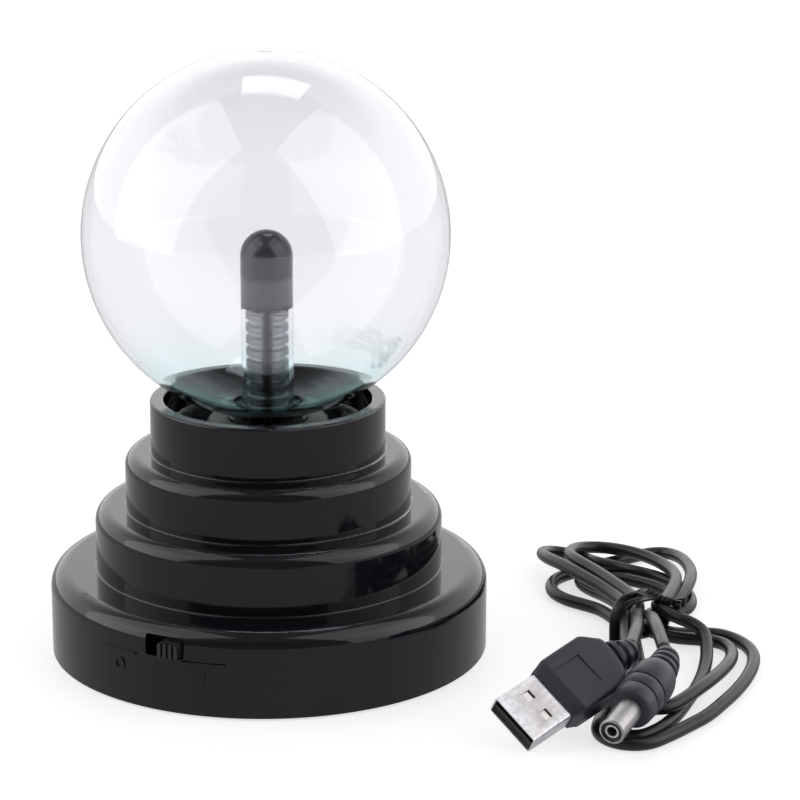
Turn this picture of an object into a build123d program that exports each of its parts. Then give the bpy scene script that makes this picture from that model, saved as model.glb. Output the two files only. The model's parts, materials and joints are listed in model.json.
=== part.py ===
from build123d import *
import os
from math import cos, pi, radians, sin, sqrt

# Plasma ball on a stepped round base, with its USB power lead lying beside it.
# Origin: centre of the base on the table. Front is -Y, +Z is up. Millimetres.

# ---- driving dimensions ----
base_radius = 48.5
tier_radii = [base_radius, 38.4, 31.6]
tier_tops = [19.2, 32.9, 45.1]
tier_rounds = [4.0, 3.2, 2.8]
collar_radius = 25.9
cup_radius = 22.9
rim_height = 57.0
wall = 2.0
foot_gap = 0.5
cup_floor = 50.0

globe_radius = 40.0
globe_centre = 93.4
globe_glass_wall = 1.2
neck_radius = 9.0
neck_bottom = 44.0

stem_radius = 5.75
stem_wall = 0.9
stem_top = 94.5
coating_bottom = 77.4
plug_bottom = 83.8

cell_radius = 5.25
cell_length = 44.5
cell_pitch = 11.1
bay_width = 45.6
bay_length = 53.0
bay_roof = 15.0

switch_angle = radians(27.4)
switch_height = 14.8
slot_width = 9.0
slot_height = 4.6
knob_width = 4.7
knob_height = 3.2
switch_travel = 3.6

jack_height = 9.5
jack_bore = 3.1

cord_diameter = 2.9

# Directions and rest places of the two plugs of the lead.
dc_tip = Vector(68.45, -74.0, 6.75)
dc_back = Vector(0.484, 0.859, 0.164).normalized()
usb_front = Vector(49.1, -66.1, 5.4)
usb_back = Vector(0.748, 0.618, 0.242).normalized()
usb_across = Vector(-0.623, 0.528, 0.576)

os.makedirs("parts", exist_ok=True)


def save(builder, name):
    builder.part.label = name
    export_step(builder.part, f"parts/{name}.step")


def circle_edge(builder, radius, height):
    """The circular edge of a turned part with this radius at this height."""
    rims = builder.edges().filter_by(GeomType.CIRCLE)
    rims = rims.filter_by_position(Axis.Z, height - 0.01, height + 0.01)
    return rims.filter_by(lambda edge: abs(edge.radius - radius) < 0.01)


# ---- housing shell: three stepped tiers and the collar that holds the globe ----
post_ring = 40.5
post_radius = 3.2
post_hole = 1.5
post_foot = 2.6
board_ring = 32.0
board_post_radius = 2.6
board_bottom = 18.5
board_thickness = 1.6
board_top = board_bottom + board_thickness
neck_hole = 10.6
ceilings = [top - wall for top in tier_tops]
switch_out = Vector(-sin(switch_angle), -cos(switch_angle), 0)
switch_right = Vector(cos(switch_angle), -sin(switch_angle), 0)


def switch_plane(distance):
    """Plane across the switch at this distance from the axis: x right, y up, z outwards."""
    origin = switch_out * distance + Vector(0, 0, switch_height)
    return Plane(origin=origin, x_dir=switch_right, z_dir=switch_out)


outer_profile = [
    (base_radius, foot_gap),
    (base_radius, tier_tops[0]),
    (tier_radii[1], tier_tops[0]),
    (tier_radii[1], tier_tops[1]),
    (tier_radii[2], tier_tops[1]),
    (tier_radii[2], tier_tops[2]),
    (collar_radius, tier_tops[2]),
    (collar_radius, rim_height),
    (cup_radius, rim_height),
    (cup_radius, cup_floor),
    (neck_hole, cup_floor),
]
inner_profile = [
    (neck_hole, cup_floor - wall),
    (collar_radius - wall, cup_floor - wall),
    (collar_radius - wall, ceilings[2]),
    (tier_radii[2] - wall, ceilings[2]),
    (tier_radii[2] - wall, ceilings[1]),
    (tier_radii[1] - wall, ceilings[1]),
    (tier_radii[1] - wall, ceilings[0]),
    (base_radius - wall, ceilings[0]),
    (base_radius - wall, foot_gap),
]
with BuildPart() as housing_shell:
    with BuildSketch(Plane.XZ):
        with BuildLine():
            Polyline(*outer_profile, *inner_profile, close=True)
        make_face()
    revolve(axis=Axis.Z)
    for radius, top, rounding in zip(tier_radii, tier_tops, tier_rounds):
        fillet(circle_edge(housing_shell, radius, top), rounding)
    for radius, foot in zip([*tier_radii[1:], collar_radius], tier_tops):
        fillet(circle_edge(housing_shell, radius, foot), 0.35)
    fillet(circle_edge(housing_shell, collar_radius, rim_height), 0.5)
    fillet(circle_edge(housing_shell, cup_radius, rim_height), 0.4)
    fillet(circle_edge(housing_shell, cup_radius, cup_floor), 1.2)
    # posts for the bottom cover's screws
    with BuildSketch(Plane.XY.offset(post_foot)):
        with PolarLocations(post_ring, 4, start_angle=45):
            Circle(post_radius)
    extrude(amount=ceilings[0] - post_foot + 0.5)
    with BuildSketch(Plane.XY.offset(post_foot)):
        with PolarLocations(post_ring, 4, start_angle=45):
            Circle(post_hole)
    extrude(amount=11, mode=Mode.SUBTRACT)
    # posts for the circuit board's screws
    with BuildSketch(Plane.XY.offset(board_top + 0.05)):
        with PolarLocations(board_ring, 3, start_angle=30):
            Circle(board_post_radius)
    extrude(amount=ceilings[1] - board_top + 0.45)
    with BuildSketch(Plane.XY.offset(board_top + 0.05)):
        with PolarLocations(board_ring, 3, start_angle=30):
            Circle(1.15)
    extrude(amount=8, mode=Mode.SUBTRACT)
    # slot of the slide switch
    with BuildSketch(switch_plane(base_radius - 6)):
        RectangleRounded(slot_width, slot_height, 0.5)
    extrude(amount=10, mode=Mode.SUBTRACT)
    # hole of the power socket at the back
    with BuildSketch(Plane(origin=(0, base_radius - 6, jack_height), z_dir=(0, 1, 0))):
        Circle(3.7)
    extrude(amount=10, mode=Mode.SUBTRACT)
    # raised line and mark at each side of the switch: a bar for on, a ring for off
    mark_depth = 0.25
    for centre_angle, line_length in ((-13.6, 9.0), (10.6, 9.6)):
        angle = switch_angle - radians(centre_angle)
        outward = Vector(-sin(angle), -cos(angle), 0)
        sideways = Vector(cos(angle), -sin(angle), 0)
        foot = outward * (base_radius - 1.0) + Vector(0, 0, 12.1)
        with BuildSketch(Plane(origin=foot, x_dir=sideways, z_dir=outward)):
            Rectangle(line_length, 0.45)
        extrude(amount=1.0 + mark_depth)
        with BuildSketch(Plane(origin=foot - Vector(0, 0, 3.0), x_dir=sideways, z_dir=outward)):
            if centre_angle < 0:
                Circle(1.35)
                Circle(0.95, mode=Mode.SUBTRACT)
            else:
                Rectangle(0.5, 2.7)
        extrude(amount=1.0 + mark_depth)
save(housing_shell, "housing_shell")

# ---- bottom cover with the battery bay ----
cover_radius = base_radius - wall - 0.3
cover_top = foot_gap + wall
bay_wall = 1.4
door_width = 46.4
door_length = 54.4
door_gap = 0.3
foot_ring = 40.0
foot_radius = 4.0
foot_sink = 1.0
door_axis_y = -door_length / 2 + 0.6
door_axis_z = foot_gap + 0.6
trunnion_radius = 0.4
with BuildPart() as bottom_cover:
    with BuildSketch(Plane.XY.offset(foot_gap)):
        Circle(cover_radius)
    extrude(amount=wall)
    with BuildSketch(Plane.XY.offset(cover_top)):
        Rectangle(door_width + 2 * bay_wall + 0.6, door_length + 2 * bay_wall + 0.6)
    extrude(amount=bay_roof + bay_wall - cover_top)
    with BuildSketch(Plane.XY.offset(foot_gap)):
        Rectangle(door_width + 2 * door_gap, door_length + 2 * door_gap)
    extrude(amount=cover_top - foot_gap, mode=Mode.SUBTRACT)
    with BuildSketch(Plane.XY.offset(cover_top)):
        Rectangle(bay_width, bay_length)
    extrude(amount=bay_roof - cover_top, mode=Mode.SUBTRACT)
    with Locations(Plane.XY.offset(foot_gap)):
        with PolarLocations(post_ring, 4, start_angle=45):
            with Locations(Location((0, 0, 0), (180, 0, 0))):
                CounterBoreHole(1.7, 3.1, 1.2, depth=4)
    with BuildSketch(Plane.XY.offset(foot_gap)):
        with PolarLocations(foot_ring, 4):
            Circle(foot_radius + 0.05)
    extrude(amount=foot_sink, mode=Mode.SUBTRACT)
    # sockets for the door's two trunnions
    for side in (-1, 1):
        edge = side * (door_width / 2)
        with BuildSketch(Plane(origin=(edge, door_axis_y, door_axis_z), z_dir=(side, 0, 0))):
            Circle(trunnion_radius + 0.06)
        extrude(amount=1.6, mode=Mode.SUBTRACT)
save(bottom_cover, "bottom_cover")

# ---- battery door ----
with BuildPart() as battery_door:
    with BuildSketch(Plane.XY.offset(foot_gap)):
        Rectangle(door_width, door_length)
    extrude(amount=wall - 0.3)
    for side in (-1, 1):
        edge = side * (door_width / 2 - 0.5)
        with BuildSketch(Plane(origin=(edge, door_axis_y, door_axis_z), z_dir=(side, 0, 0))):
            Circle(trunnion_radius)
        extrude(amount=1.6)
    # shallow thumb hollow with grip ribs at the latch end
    with BuildSketch(Plane.XY.offset(foot_gap)):
        with Locations((0, door_length / 2 - 8)):
            SlotOverall(16, 8)
    extrude(amount=0.6, mode=Mode.SUBTRACT)
    with BuildSketch(Plane.XY.offset(foot_gap + 0.2)):
        with Locations((0, door_length / 2 - 8)):
            with GridLocations(2.4, 0, 5, 1):
                Rectangle(0.7, 5)
    extrude(amount=0.5)
save(battery_door, "battery_door")

# ---- feet and screws ----
with BuildPart() as rubber_feet:
    with BuildSketch(Plane.XY):
        with PolarLocations(foot_ring, 4):
            Circle(foot_radius)
    extrude(amount=foot_gap + foot_sink)
    fillet(rubber_feet.edges().group_by(Axis.Z)[0], 0.3)
save(rubber_feet, "rubber_feet")

head_height = 1.0
with BuildPart() as housing_screws:
    with BuildSketch(Plane.XY.offset(foot_gap + 0.2)):
        with PolarLocations(post_ring, 4, start_angle=45):
            Circle(2.7)
    extrude(amount=head_height)
    with BuildSketch(Plane.XY.offset(foot_gap + 0.2)):
        with PolarLocations(post_ring, 4, start_angle=45):
            Circle(1.45)
    extrude(amount=11)
    with BuildSketch(Plane.XY.offset(foot_gap + 0.2)):
        with PolarLocations(post_ring, 4, start_angle=45):
            Rectangle(2.8, 0.6)
            Rectangle(0.6, 2.8)
    extrude(amount=0.7, mode=Mode.SUBTRACT)
save(housing_screws, "housing_screws")

# ---- circuit board and its screws ----
with BuildPart() as circuit_board:
    with BuildSketch(Plane.XY.offset(board_bottom)):
        Circle(34.8)
        with PolarLocations(board_ring, 3, start_angle=30):
            Circle(1.3, mode=Mode.SUBTRACT)
    extrude(amount=board_thickness)
save(circuit_board, "circuit_board")

with BuildPart() as board_screws:
    with BuildSketch(Plane.XY.offset(board_bottom - 1.15)):
        with PolarLocations(board_ring, 3, start_angle=30):
            Circle(2.1)
    extrude(amount=1.1)
    with BuildSketch(Plane.XY.offset(board_bottom - 0.05)):
        with PolarLocations(board_ring, 3, start_angle=30):
            Circle(1.1)
    extrude(amount=7)
save(board_screws, "board_screws")

# ---- high-voltage transformer ----
core_width = 22.0
core_depth = 7.0
core_height = 17.0
leg_width = 3.5
centre_leg = 6.0
window_height = core_height - 2 * leg_width
window_width = (core_width - centre_leg) / 2 - leg_width
core_bottom = board_top + 0.05
window_middle = core_bottom + core_height / 2
with BuildPart() as transformer_core:
    with BuildSketch(Plane.XZ.offset(-core_depth / 2)):
        with Locations((0, window_middle)):
            Rectangle(core_width, core_height)
            with GridLocations(centre_leg + window_width, 0, 2, 1):
                Rectangle(window_width, window_height, mode=Mode.SUBTRACT)
    extrude(amount=core_depth)
save(transformer_core, "transformer_core")

bobbin_gap = 0.1
bobbin_wall = 0.7
flange = 0.8
bobbin_height = window_height - 0.2
bobbin_bottom = window_middle - bobbin_height / 2
bobbin_reach = centre_leg + 2 * window_width - 0.4
with BuildPart() as transformer_bobbin:
    with BuildSketch(Plane.XY.offset(bobbin_bottom)):
        Rectangle(centre_leg + 2 * bobbin_wall + 2 * bobbin_gap, core_depth + 2 * bobbin_wall + 2 * bobbin_gap)
    extrude(amount=bobbin_height)
    for foot in (bobbin_bottom, bobbin_bottom + bobbin_height - flange):
        with BuildSketch(Plane.XY.offset(foot)):
            RectangleRounded(bobbin_reach, core_depth + 9, 1.0)
        extrude(amount=flange)
    with BuildSketch(Plane.XY.offset(bobbin_bottom)):
        Rectangle(centre_leg + 2 * bobbin_gap, core_depth + 2 * bobbin_gap)
    extrude(amount=bobbin_height, mode=Mode.SUBTRACT)
save(transformer_bobbin, "transformer_bobbin")

with BuildPart() as transformer_winding:
    with BuildSketch(Plane.XY.offset(bobbin_bottom + flange + 0.05)):
        RectangleRounded(bobbin_reach - 0.6, core_depth + 7.5, 2.0)
        Rectangle(
            centre_leg + 2 * bobbin_wall + 2 * bobbin_gap + 0.1,
            core_depth + 2 * bobbin_wall + 2 * bobbin_gap + 0.1,
            mode=Mode.SUBTRACT,
        )
    extrude(amount=bobbin_height - 2 * flange - 0.1)
save(transformer_winding, "transformer_winding")

# ---- drive transistor on its heat sink ----
sink_x = -19.0
with BuildPart() as heat_sink:
    with BuildSketch(Plane.XY.offset(board_top + 0.05)):
        with Locations((sink_x, 0)):
            Rectangle(2.0, 16)
            with Locations((-3, 0)):
                with GridLocations(0, 5, 1, 3):
                    Rectangle(4.2, 1.2)
    extrude(amount=9.5)
save(heat_sink, "heat_sink")

transistor_x = sink_x + 1.05
with BuildPart() as drive_transistor:
    with BuildSketch(Plane.YZ.offset(transistor_x)):
        with Locations((0, board_top + 7.2)):
            Rectangle(10, 5)
    extrude(amount=1.3)
    with BuildSketch(Plane.YZ.offset(transistor_x + 0.1)):
        with Locations((0, board_top + 5.0)):
            Rectangle(10, 5.4)
    extrude(amount=4.2)
    with BuildSketch(Plane.YZ.offset(transistor_x + 2.2)):
        with Locations((0, board_top + 1.3)):
            with GridLocations(2.54, 0, 3, 1):
                Rectangle(0.8, 2.4)
    extrude(amount=0.6)
save(drive_transistor, "drive_transistor")

# ---- capacitors, resistors and choke ----
with BuildPart() as electrolytic_capacitor:
    with BuildSketch(Plane.XY.offset(board_top + 0.05)):
        with Locations((17, 12)):
            Circle(4.0)
    extrude(amount=10)
    fillet(electrolytic_capacitor.edges().group_by(Axis.Z)[-1], 0.5)
save(electrolytic_capacitor, "electrolytic_capacitor")

with BuildPart() as film_capacitor:
    with BuildSketch(Plane.XY.offset(board_top + 0.05)):
        with Locations((17, -12)):
            RectangleRounded(5, 10.5, 1.5)
    extrude(amount=8)
    fillet(film_capacitor.edges().group_by(Axis.Z)[-1], 1.0)
save(film_capacitor, "film_capacitor")

resistor_height = board_top + 1.4
lead_bend = 0.7
with BuildPart() as resistors:
    for row in range(4):
        row_x = -9.0 + 5.0 * row
        with BuildSketch(Plane(origin=(row_x, 17, resistor_height), z_dir=(0, 1, 0))):
            Circle(1.15)
        extrude(amount=6.5)
        foot = board_top + 0.05
        with BuildLine() as lead_route:
            FilletPolyline(
                (row_x, 15.2, foot), (row_x, 15.2, resistor_height),
                (row_x, 25.3, resistor_height), (row_x, 25.3, foot),
                radius=lead_bend,
            )
        with BuildSketch(Plane(origin=(row_x, 15.2, foot))):
            Circle(0.3)
        sweep(path=lead_route.wire())
save(resistors, "resistors")

with BuildPart() as supply_choke:
    with BuildSketch(Plane.XY.offset(board_top + 0.05)):
        with Locations((0, -20)):
            Circle(5.5)
            Circle(2.6, mode=Mode.SUBTRACT)
    extrude(amount=5)
    fillet(supply_choke.edges().filter_by(GeomType.CIRCLE).group_by(Axis.Z)[-1], 1.0)
save(supply_choke, "supply_choke")

# ---- power socket at the back ----
jack_width = 9.0
jack_high = 10.6
jack_depth = 13.5
jack_front = base_radius - wall - 1.2
jack_mouth = Plane(origin=(0, jack_front, jack_height), x_dir=(1, 0, 0), z_dir=(0, -1, 0))
with BuildPart() as socket_body:
    with BuildSketch(jack_mouth):
        RectangleRounded(jack_width, jack_high, 0.6)
    extrude(amount=jack_depth)
    with BuildSketch(jack_mouth):
        Circle(jack_bore)
    extrude(amount=10.5, mode=Mode.SUBTRACT)
    with BuildSketch(jack_mouth.offset(10)):
        Circle(1.05)
    extrude(amount=jack_depth, mode=Mode.SUBTRACT)
save(socket_body, "socket_body")

with BuildPart() as socket_pin:
    with BuildSketch(jack_mouth.offset(1.0)):
        Circle(1.0)
    extrude(amount=jack_depth + 1.0)
    fillet(socket_pin.edges().sort_by(Axis.Y)[-1], 0.5)
save(socket_pin, "socket_pin")

with BuildPart() as socket_spring:
    with BuildSketch(Plane(origin=(0, jack_front - 3.0, jack_height - jack_bore + 0.2), z_dir=(0, 0, 1))):
        with Locations((0, -2.9)):
            Rectangle(1.8, 7.0)
    extrude(amount=0.3)
save(socket_spring, "socket_spring")

# ---- slide switch ----
frame_front = 44.9
frame_plate = 0.5
case_depth = 4.4
case_width = knob_width + 0.8 + switch_travel + 1.6
case_height = 6.0
case_wall = 0.5
carrier_depth = 2.0
slide_offset = switch_travel / 2
knob_drop = -0.2
frame_drop = -0.9
with BuildPart() as switch_frame:
    with BuildSketch(switch_plane(frame_front - frame_plate)):
        with Locations((0, frame_drop)):
            RectangleRounded(17, case_height, 0.6)
            with GridLocations(14, 0, 2, 1):
                Circle(0.9, mode=Mode.SUBTRACT)
    extrude(amount=frame_plate)
    with BuildSketch(switch_plane(frame_front - frame_plate)):
        with Locations((0, frame_drop)):
            Rectangle(case_width, case_height)
            Rectangle(case_width - 2 * case_wall, case_height - 2 * case_wall, mode=Mode.SUBTRACT)
    extrude(amount=-case_depth)
    with BuildSketch(switch_plane(frame_front - frame_plate)):
        with Locations((0, knob_drop)):
            Rectangle(knob_width + switch_travel + 0.5, knob_height + 0.3)
    extrude(amount=frame_plate, mode=Mode.SUBTRACT)
save(switch_frame, "switch_frame")

with BuildPart() as switch_slider:
    with BuildSketch(switch_plane(frame_front - frame_plate - 0.15)):
        with Locations((slide_offset, frame_drop)):
            Rectangle(knob_width + 0.8, case_height - 2 * case_wall - 0.4)
    extrude(amount=-carrier_depth)
    with BuildSketch(switch_plane(frame_front - frame_plate - 0.15)):
        with Locations((slide_offset, knob_drop)):
            RectangleRounded(knob_width, knob_height, 0.3)
    extrude(amount=base_radius + 1.9 - frame_front + frame_plate + 0.15)
    # grip grooves across the knob's outer face
    with BuildSketch(switch_plane(base_radius + 1.3)):
        with Locations((slide_offset, knob_drop)):
            with GridLocations(1.3, 0, 3, 1):
                Rectangle(0.5, knob_height)
    extrude(amount=1.0, mode=Mode.SUBTRACT)
save(switch_slider, "switch_slider")

with BuildPart() as switch_base:
    with BuildSketch(switch_plane(frame_front - frame_plate - case_depth)):
        with Locations((0, frame_drop)):
            Rectangle(case_width - 2 * case_wall - 0.06, case_height - 2 * case_wall - 0.06)
            with GridLocations(2.5, 0, 3, 1):
                Rectangle(0.8, 0.5, mode=Mode.SUBTRACT)
    extrude(amount=1.2)
save(switch_base, "switch_base")

with BuildPart() as switch_terminals:
    with BuildSketch(switch_plane(frame_front - frame_plate - case_depth - 3.0)):
        with Locations((0, frame_drop)):
            with GridLocations(2.5, 0, 3, 1):
                Rectangle(0.74, 0.44)
    extrude(amount=4.4)
save(switch_terminals, "switch_terminals")

# ---- cells and battery contacts ----
cell_height = cover_top + 0.3 + cell_radius
with BuildPart() as battery_cells:
    for column, (cell_x, nub) in enumerate(zip([-1.5, -0.5, 0.5, 1.5], [1, -1, 1, -1])):
        end = -nub * cell_length / 2
        plane = Plane(origin=(cell_x * cell_pitch, end, cell_height), z_dir=(0, nub, 0))
        with BuildSketch(plane):
            Circle(cell_radius)
        extrude(amount=cell_length - 1.0)
        with BuildSketch(plane.offset(cell_length - 1.0)):
            Circle(1.9)
        extrude(amount=1.0)
save(battery_cells, "battery_cells")

contact_y = bay_length / 2 - 0.5
with BuildPart() as battery_plates:
    for nub, columns in ((1, (-1.5, 0.5)), (-1, (-0.5, 1.5))):
        for column in columns:
            origin = (column * cell_pitch, nub * contact_y, cell_height)
            with BuildSketch(Plane(origin=origin, z_dir=(0, nub, 0))):
                RectangleRounded(9, 9, 1.0)
            extrude(amount=0.4)
            with BuildSketch(Plane(origin=origin, z_dir=(0, -nub, 0))):
                Circle(2.2)
            extrude(amount=contact_y - cell_length / 2 - 0.05)
save(battery_plates, "battery_plates")

# folded leaf springs that press the cells against the plates
leaf_thickness = 0.35
leaf_back = contact_y + 0.4
leaf_touch = cell_length / 2 + 0.1
leaf_low = cell_height - 4.2
leaf_high = cell_height + 4.2
with BuildPart() as battery_springs:
    for side, columns in ((-1, (-1.5, 0.5)), (1, (-0.5, 1.5))):
        leaf_profile = [
            (side * leaf_back, leaf_low),
            (side * leaf_back, leaf_high),
            (side * (leaf_back - leaf_thickness), leaf_high),
            (side * leaf_touch, cell_height),
            (side * (leaf_touch + leaf_thickness), cell_height),
            (side * (leaf_back - leaf_thickness), leaf_high - 0.9),
            (side * (leaf_back - leaf_thickness), leaf_low),
        ]
        for column in columns:
            with BuildSketch(Plane.YZ.offset(column * cell_pitch - 4.0)):
                with BuildLine():
                    Polyline(*leaf_profile, close=True)
                make_face()
            extrude(amount=8)
save(battery_springs, "battery_springs")

# ---- glass globe with its neck ----
inner_globe = globe_radius - globe_glass_wall
inner_neck = neck_radius - globe_glass_wall
neck_join = globe_centre - sqrt(globe_radius**2 - neck_radius**2)
inner_join = globe_centre - sqrt(inner_globe**2 - inner_neck**2)
with BuildPart() as globe_glass:
    with BuildSketch(Plane.XZ):
        with BuildLine():
            ThreePointArc(
                (0, globe_centre + globe_radius), (globe_radius, globe_centre), (neck_radius, neck_join)
            )
            Polyline(
                (neck_radius, neck_join),
                (neck_radius, neck_bottom),
                (inner_neck, neck_bottom),
                (inner_neck, inner_join),
            )
            ThreePointArc(
                (inner_neck, inner_join), (inner_globe, globe_centre), (0, globe_centre + inner_globe)
            )
            Line((0, globe_centre + inner_globe), (0, globe_centre + globe_radius))
        make_face()
    revolve(axis=Axis.Z)
save(globe_glass, "globe_glass")


def domed_tube_profile(outer, inner, foot, dome_centre):
    """Half section of a tube that ends in a hemisphere, drawn on the current line."""
    ThreePointArc(
        (0, dome_centre + outer),
        (outer * sin(pi / 4), dome_centre + outer * cos(pi / 4)),
        (outer, dome_centre),
    )
    Polyline((outer, dome_centre), (outer, foot), (inner, foot), (inner, dome_centre))
    ThreePointArc(
        (inner, dome_centre),
        (inner * sin(pi / 4), dome_centre + inner * cos(pi / 4)),
        (0, dome_centre + inner),
    )
    Line((0, dome_centre + inner), (0, dome_centre + outer))


# ---- re-entrant glass stem, its inner coating and what it holds ----
dome_centre = stem_top - stem_radius
stem_bore = stem_radius - stem_wall
flare_radius = inner_neck - 0.03
with BuildPart() as stem_tube:
    with BuildSketch(Plane.XZ):
        with BuildLine():
            domed_tube_profile(stem_radius, stem_bore, neck_bottom, dome_centre)
        make_face()
    revolve(axis=Axis.Z)
    # flare that seals the stem to the neck
    with BuildSketch(Plane.XY.offset(neck_bottom)):
        Circle(flare_radius)
        Circle(stem_bore, mode=Mode.SUBTRACT)
    extrude(amount=stem_wall)
save(stem_tube, "stem_tube")

coating_radius = stem_bore - 0.05
coating_inner = coating_radius - 0.2
with BuildPart() as electrode_coating:
    with BuildSketch(Plane.XZ):
        with BuildLine():
            domed_tube_profile(coating_radius, coating_inner, coating_bottom, dome_centre)
        make_face()
    revolve(axis=Axis.Z)
save(electrode_coating, "electrode_coating")

plug_radius = coating_inner - 0.05
with BuildPart() as electrode_plug:
    with BuildSketch(Plane.XY.offset(plug_bottom)):
        Circle(plug_radius)
    extrude(amount=dome_centre - plug_bottom + plug_radius - 0.2)
    fillet(electrode_plug.edges().group_by(Axis.Z)[-1], plug_radius - 0.3)
save(electrode_plug, "electrode_plug")

rib_pitch = 2.7
rib_count = 8
rib_radius = stem_bore - 0.15
core_radius = 4.0
core_bore = 1.3
core_foot = 53.6
core_profile = [(core_bore, core_foot), (rib_radius, core_foot), (rib_radius, core_foot + 1.4)]
for rib in range(rib_count):
    rib_foot = core_foot + 1.6 + rib * rib_pitch
    core_profile.append((core_radius, rib_foot))
    core_profile.append((core_radius, rib_foot + 0.7))
    core_profile.append((rib_radius, rib_foot + 1.1))
    core_profile.append((rib_radius, rib_foot + 2.3))
core_profile.append((core_radius, core_profile[-1][1] + 0.4))
core_profile.append((core_bore, core_profile[-1][1]))
with BuildPart() as ribbed_core:
    with BuildSketch(Plane.XZ):
        with BuildLine():
            Polyline(*core_profile, close=True)
        make_face()
    revolve(axis=Axis.Z)
save(ribbed_core, "ribbed_core")

lead_radius = 0.9
with BuildPart() as high_voltage_lead:
    with BuildSketch(Plane.XY.offset(core_bottom + core_height + 0.05)):
        Circle(lead_radius)
    extrude(amount=plug_bottom - core_bottom - core_height - 0.1)
save(high_voltage_lead, "high_voltage_lead")

# ---- silicone saddle above the cup floor and the ring that holds the neck below it ----
with BuildPart() as globe_seal:
    with BuildSketch(Plane.XY.offset(cup_floor + 0.03)):
        Circle(13.5)
        Circle(neck_radius + 0.03, mode=Mode.SUBTRACT)
    extrude(amount=2.4)
    fillet(circle_edge(globe_seal, 13.5, cup_floor + 2.43), 1.2)
save(globe_seal, "globe_seal")

with BuildPart() as neck_ring:
    with BuildSketch(Plane.XY.offset(cup_floor - wall - 0.03)):
        Circle(13.0)
        Circle(neck_radius + 0.03, mode=Mode.SUBTRACT)
    extrude(amount=-2.8)
    fillet(circle_edge(neck_ring, 13.0, cup_floor - wall - 2.83), 0.8)
save(neck_ring, "neck_ring")


# ---- inner wires ----
wire_radius = 0.6
wire_bend = 1.3
solder_height = board_bottom - 0.05


def wire(points):
    """One insulated wire along a few straight runs with rounded corners."""
    with BuildPart(mode=Mode.PRIVATE) as run:
        with BuildLine() as route:
            FilletPolyline(*points, radius=wire_bend)
        with BuildSketch(Plane(origin=points[0], z_dir=Vector(*points[1]) - Vector(*points[0]))):
            Circle(wire_radius)
        sweep(path=route.wire())
    return run.part


bay_outside = door_length / 2 + bay_wall + 0.35
with BuildPart() as battery_leads:
    for side in (-1, 1):
        add(wire([
            (side * 16.6, bay_outside, 10.0),
            (side * 16.6, bay_outside + 2.6, 10.0),
            (side * 16.6, bay_outside + 2.6, solder_height),
        ]))
save(battery_leads, "battery_leads")

terminal_end = switch_out * (frame_front - frame_plate - case_depth - 3.05)
with BuildPart() as switch_leads:
    for side in (-1, 1):
        start = terminal_end + switch_right * (side * 2.5) + Vector(0, 0, switch_height + frame_drop)
        corner = start - switch_out * 2.1
        top = Vector(corner.X, corner.Y, solder_height)
        add(wire([tuple(start), tuple(corner), tuple(top)]))
save(switch_leads, "switch_leads")

socket_back = jack_front - jack_depth - 0.05
with BuildPart() as socket_leads:
    for side in (-1, 1):
        add(wire([
            (side * 3.2, socket_back, 12.0),
            (side * 3.2, socket_back - 1.6, 12.0),
            (side * 3.2, socket_back - 1.6, solder_height),
        ]))
save(socket_leads, "socket_leads")

# ---- round power plug of the lead ----
barrel_length = 9.6
barrel_radius = 2.75
barrel_shank_radius = 2.55
dc_plane = Plane(origin=dc_tip, z_dir=dc_back)
dc_side = dc_back.cross(Vector(0, 0, 1)).normalized()
dc_section = Plane(origin=dc_tip, x_dir=dc_side, z_dir=dc_side.cross(dc_back))
with BuildPart() as dc_barrel:
    with BuildSketch(dc_plane):
        Circle(barrel_radius)
        Circle(2.3, mode=Mode.SUBTRACT)
    extrude(amount=barrel_length - 0.05)
    with BuildSketch(dc_plane.offset(barrel_length - 0.05)):
        Circle(barrel_shank_radius)
        Circle(2.3, mode=Mode.SUBTRACT)
    extrude(amount=4.05)
    fillet(dc_barrel.edges().group_by(Axis(dc_tip, dc_back))[0].sort_by(SortBy.RADIUS)[-1], 0.3)
save(dc_barrel, "dc_barrel")

with BuildPart() as dc_insulator:
    with BuildSketch(dc_plane.offset(0.5)):
        Circle(2.28)
        Circle(1.5, mode=Mode.SUBTRACT)
    extrude(amount=barrel_length + 3.5)
save(dc_insulator, "dc_insulator")

with BuildPart() as dc_contact:
    with BuildSketch(dc_plane.offset(0.3)):
        Circle(1.48)
        Circle(1.1, mode=Mode.SUBTRACT)
    extrude(amount=barrel_length + 3.7)
save(dc_contact, "dc_contact")

# half section of the moulded grip: radius, then distance back from the tip
grip_start = barrel_length
grip_end = 27.5
grip_profile = [
    (barrel_shank_radius + 0.02, grip_start),
    (4.1, grip_start),
    (4.6, grip_start + 0.6),
    (4.8, grip_start + 3.4),
    (4.55, grip_start + 3.6),
    (4.55, grip_start + 3.9),
    (4.85, grip_start + 4.1),
    (4.95, grip_start + 6.9),
    (4.7, grip_start + 7.1),
    (4.7, grip_start + 7.4),
    (5.0, grip_start + 7.6),
    (5.0, grip_start + 11.0),
    (4.0, grip_end),
    (0, grip_end),
    (0, grip_start + 4.1),
    (barrel_shank_radius + 0.02, grip_start + 4.1),
]
dc_cord_start = Vector(83.2, -43.5, 12.3)
relief_start = dc_tip + dc_back * (grip_end - 1.0)
relief_axis = dc_cord_start - relief_start
with BuildPart() as dc_grip:
    with BuildSketch(dc_section):
        with BuildLine():
            Polyline(*grip_profile, close=True)
        make_face()
    revolve(axis=Axis(dc_tip, dc_back))
    with BuildSketch(Plane(origin=relief_start, z_dir=relief_axis)):
        Circle(3.3)
    with BuildSketch(Plane(origin=dc_cord_start, z_dir=relief_axis)):
        Circle(2.3)
    loft()
save(dc_grip, "dc_grip")

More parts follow.
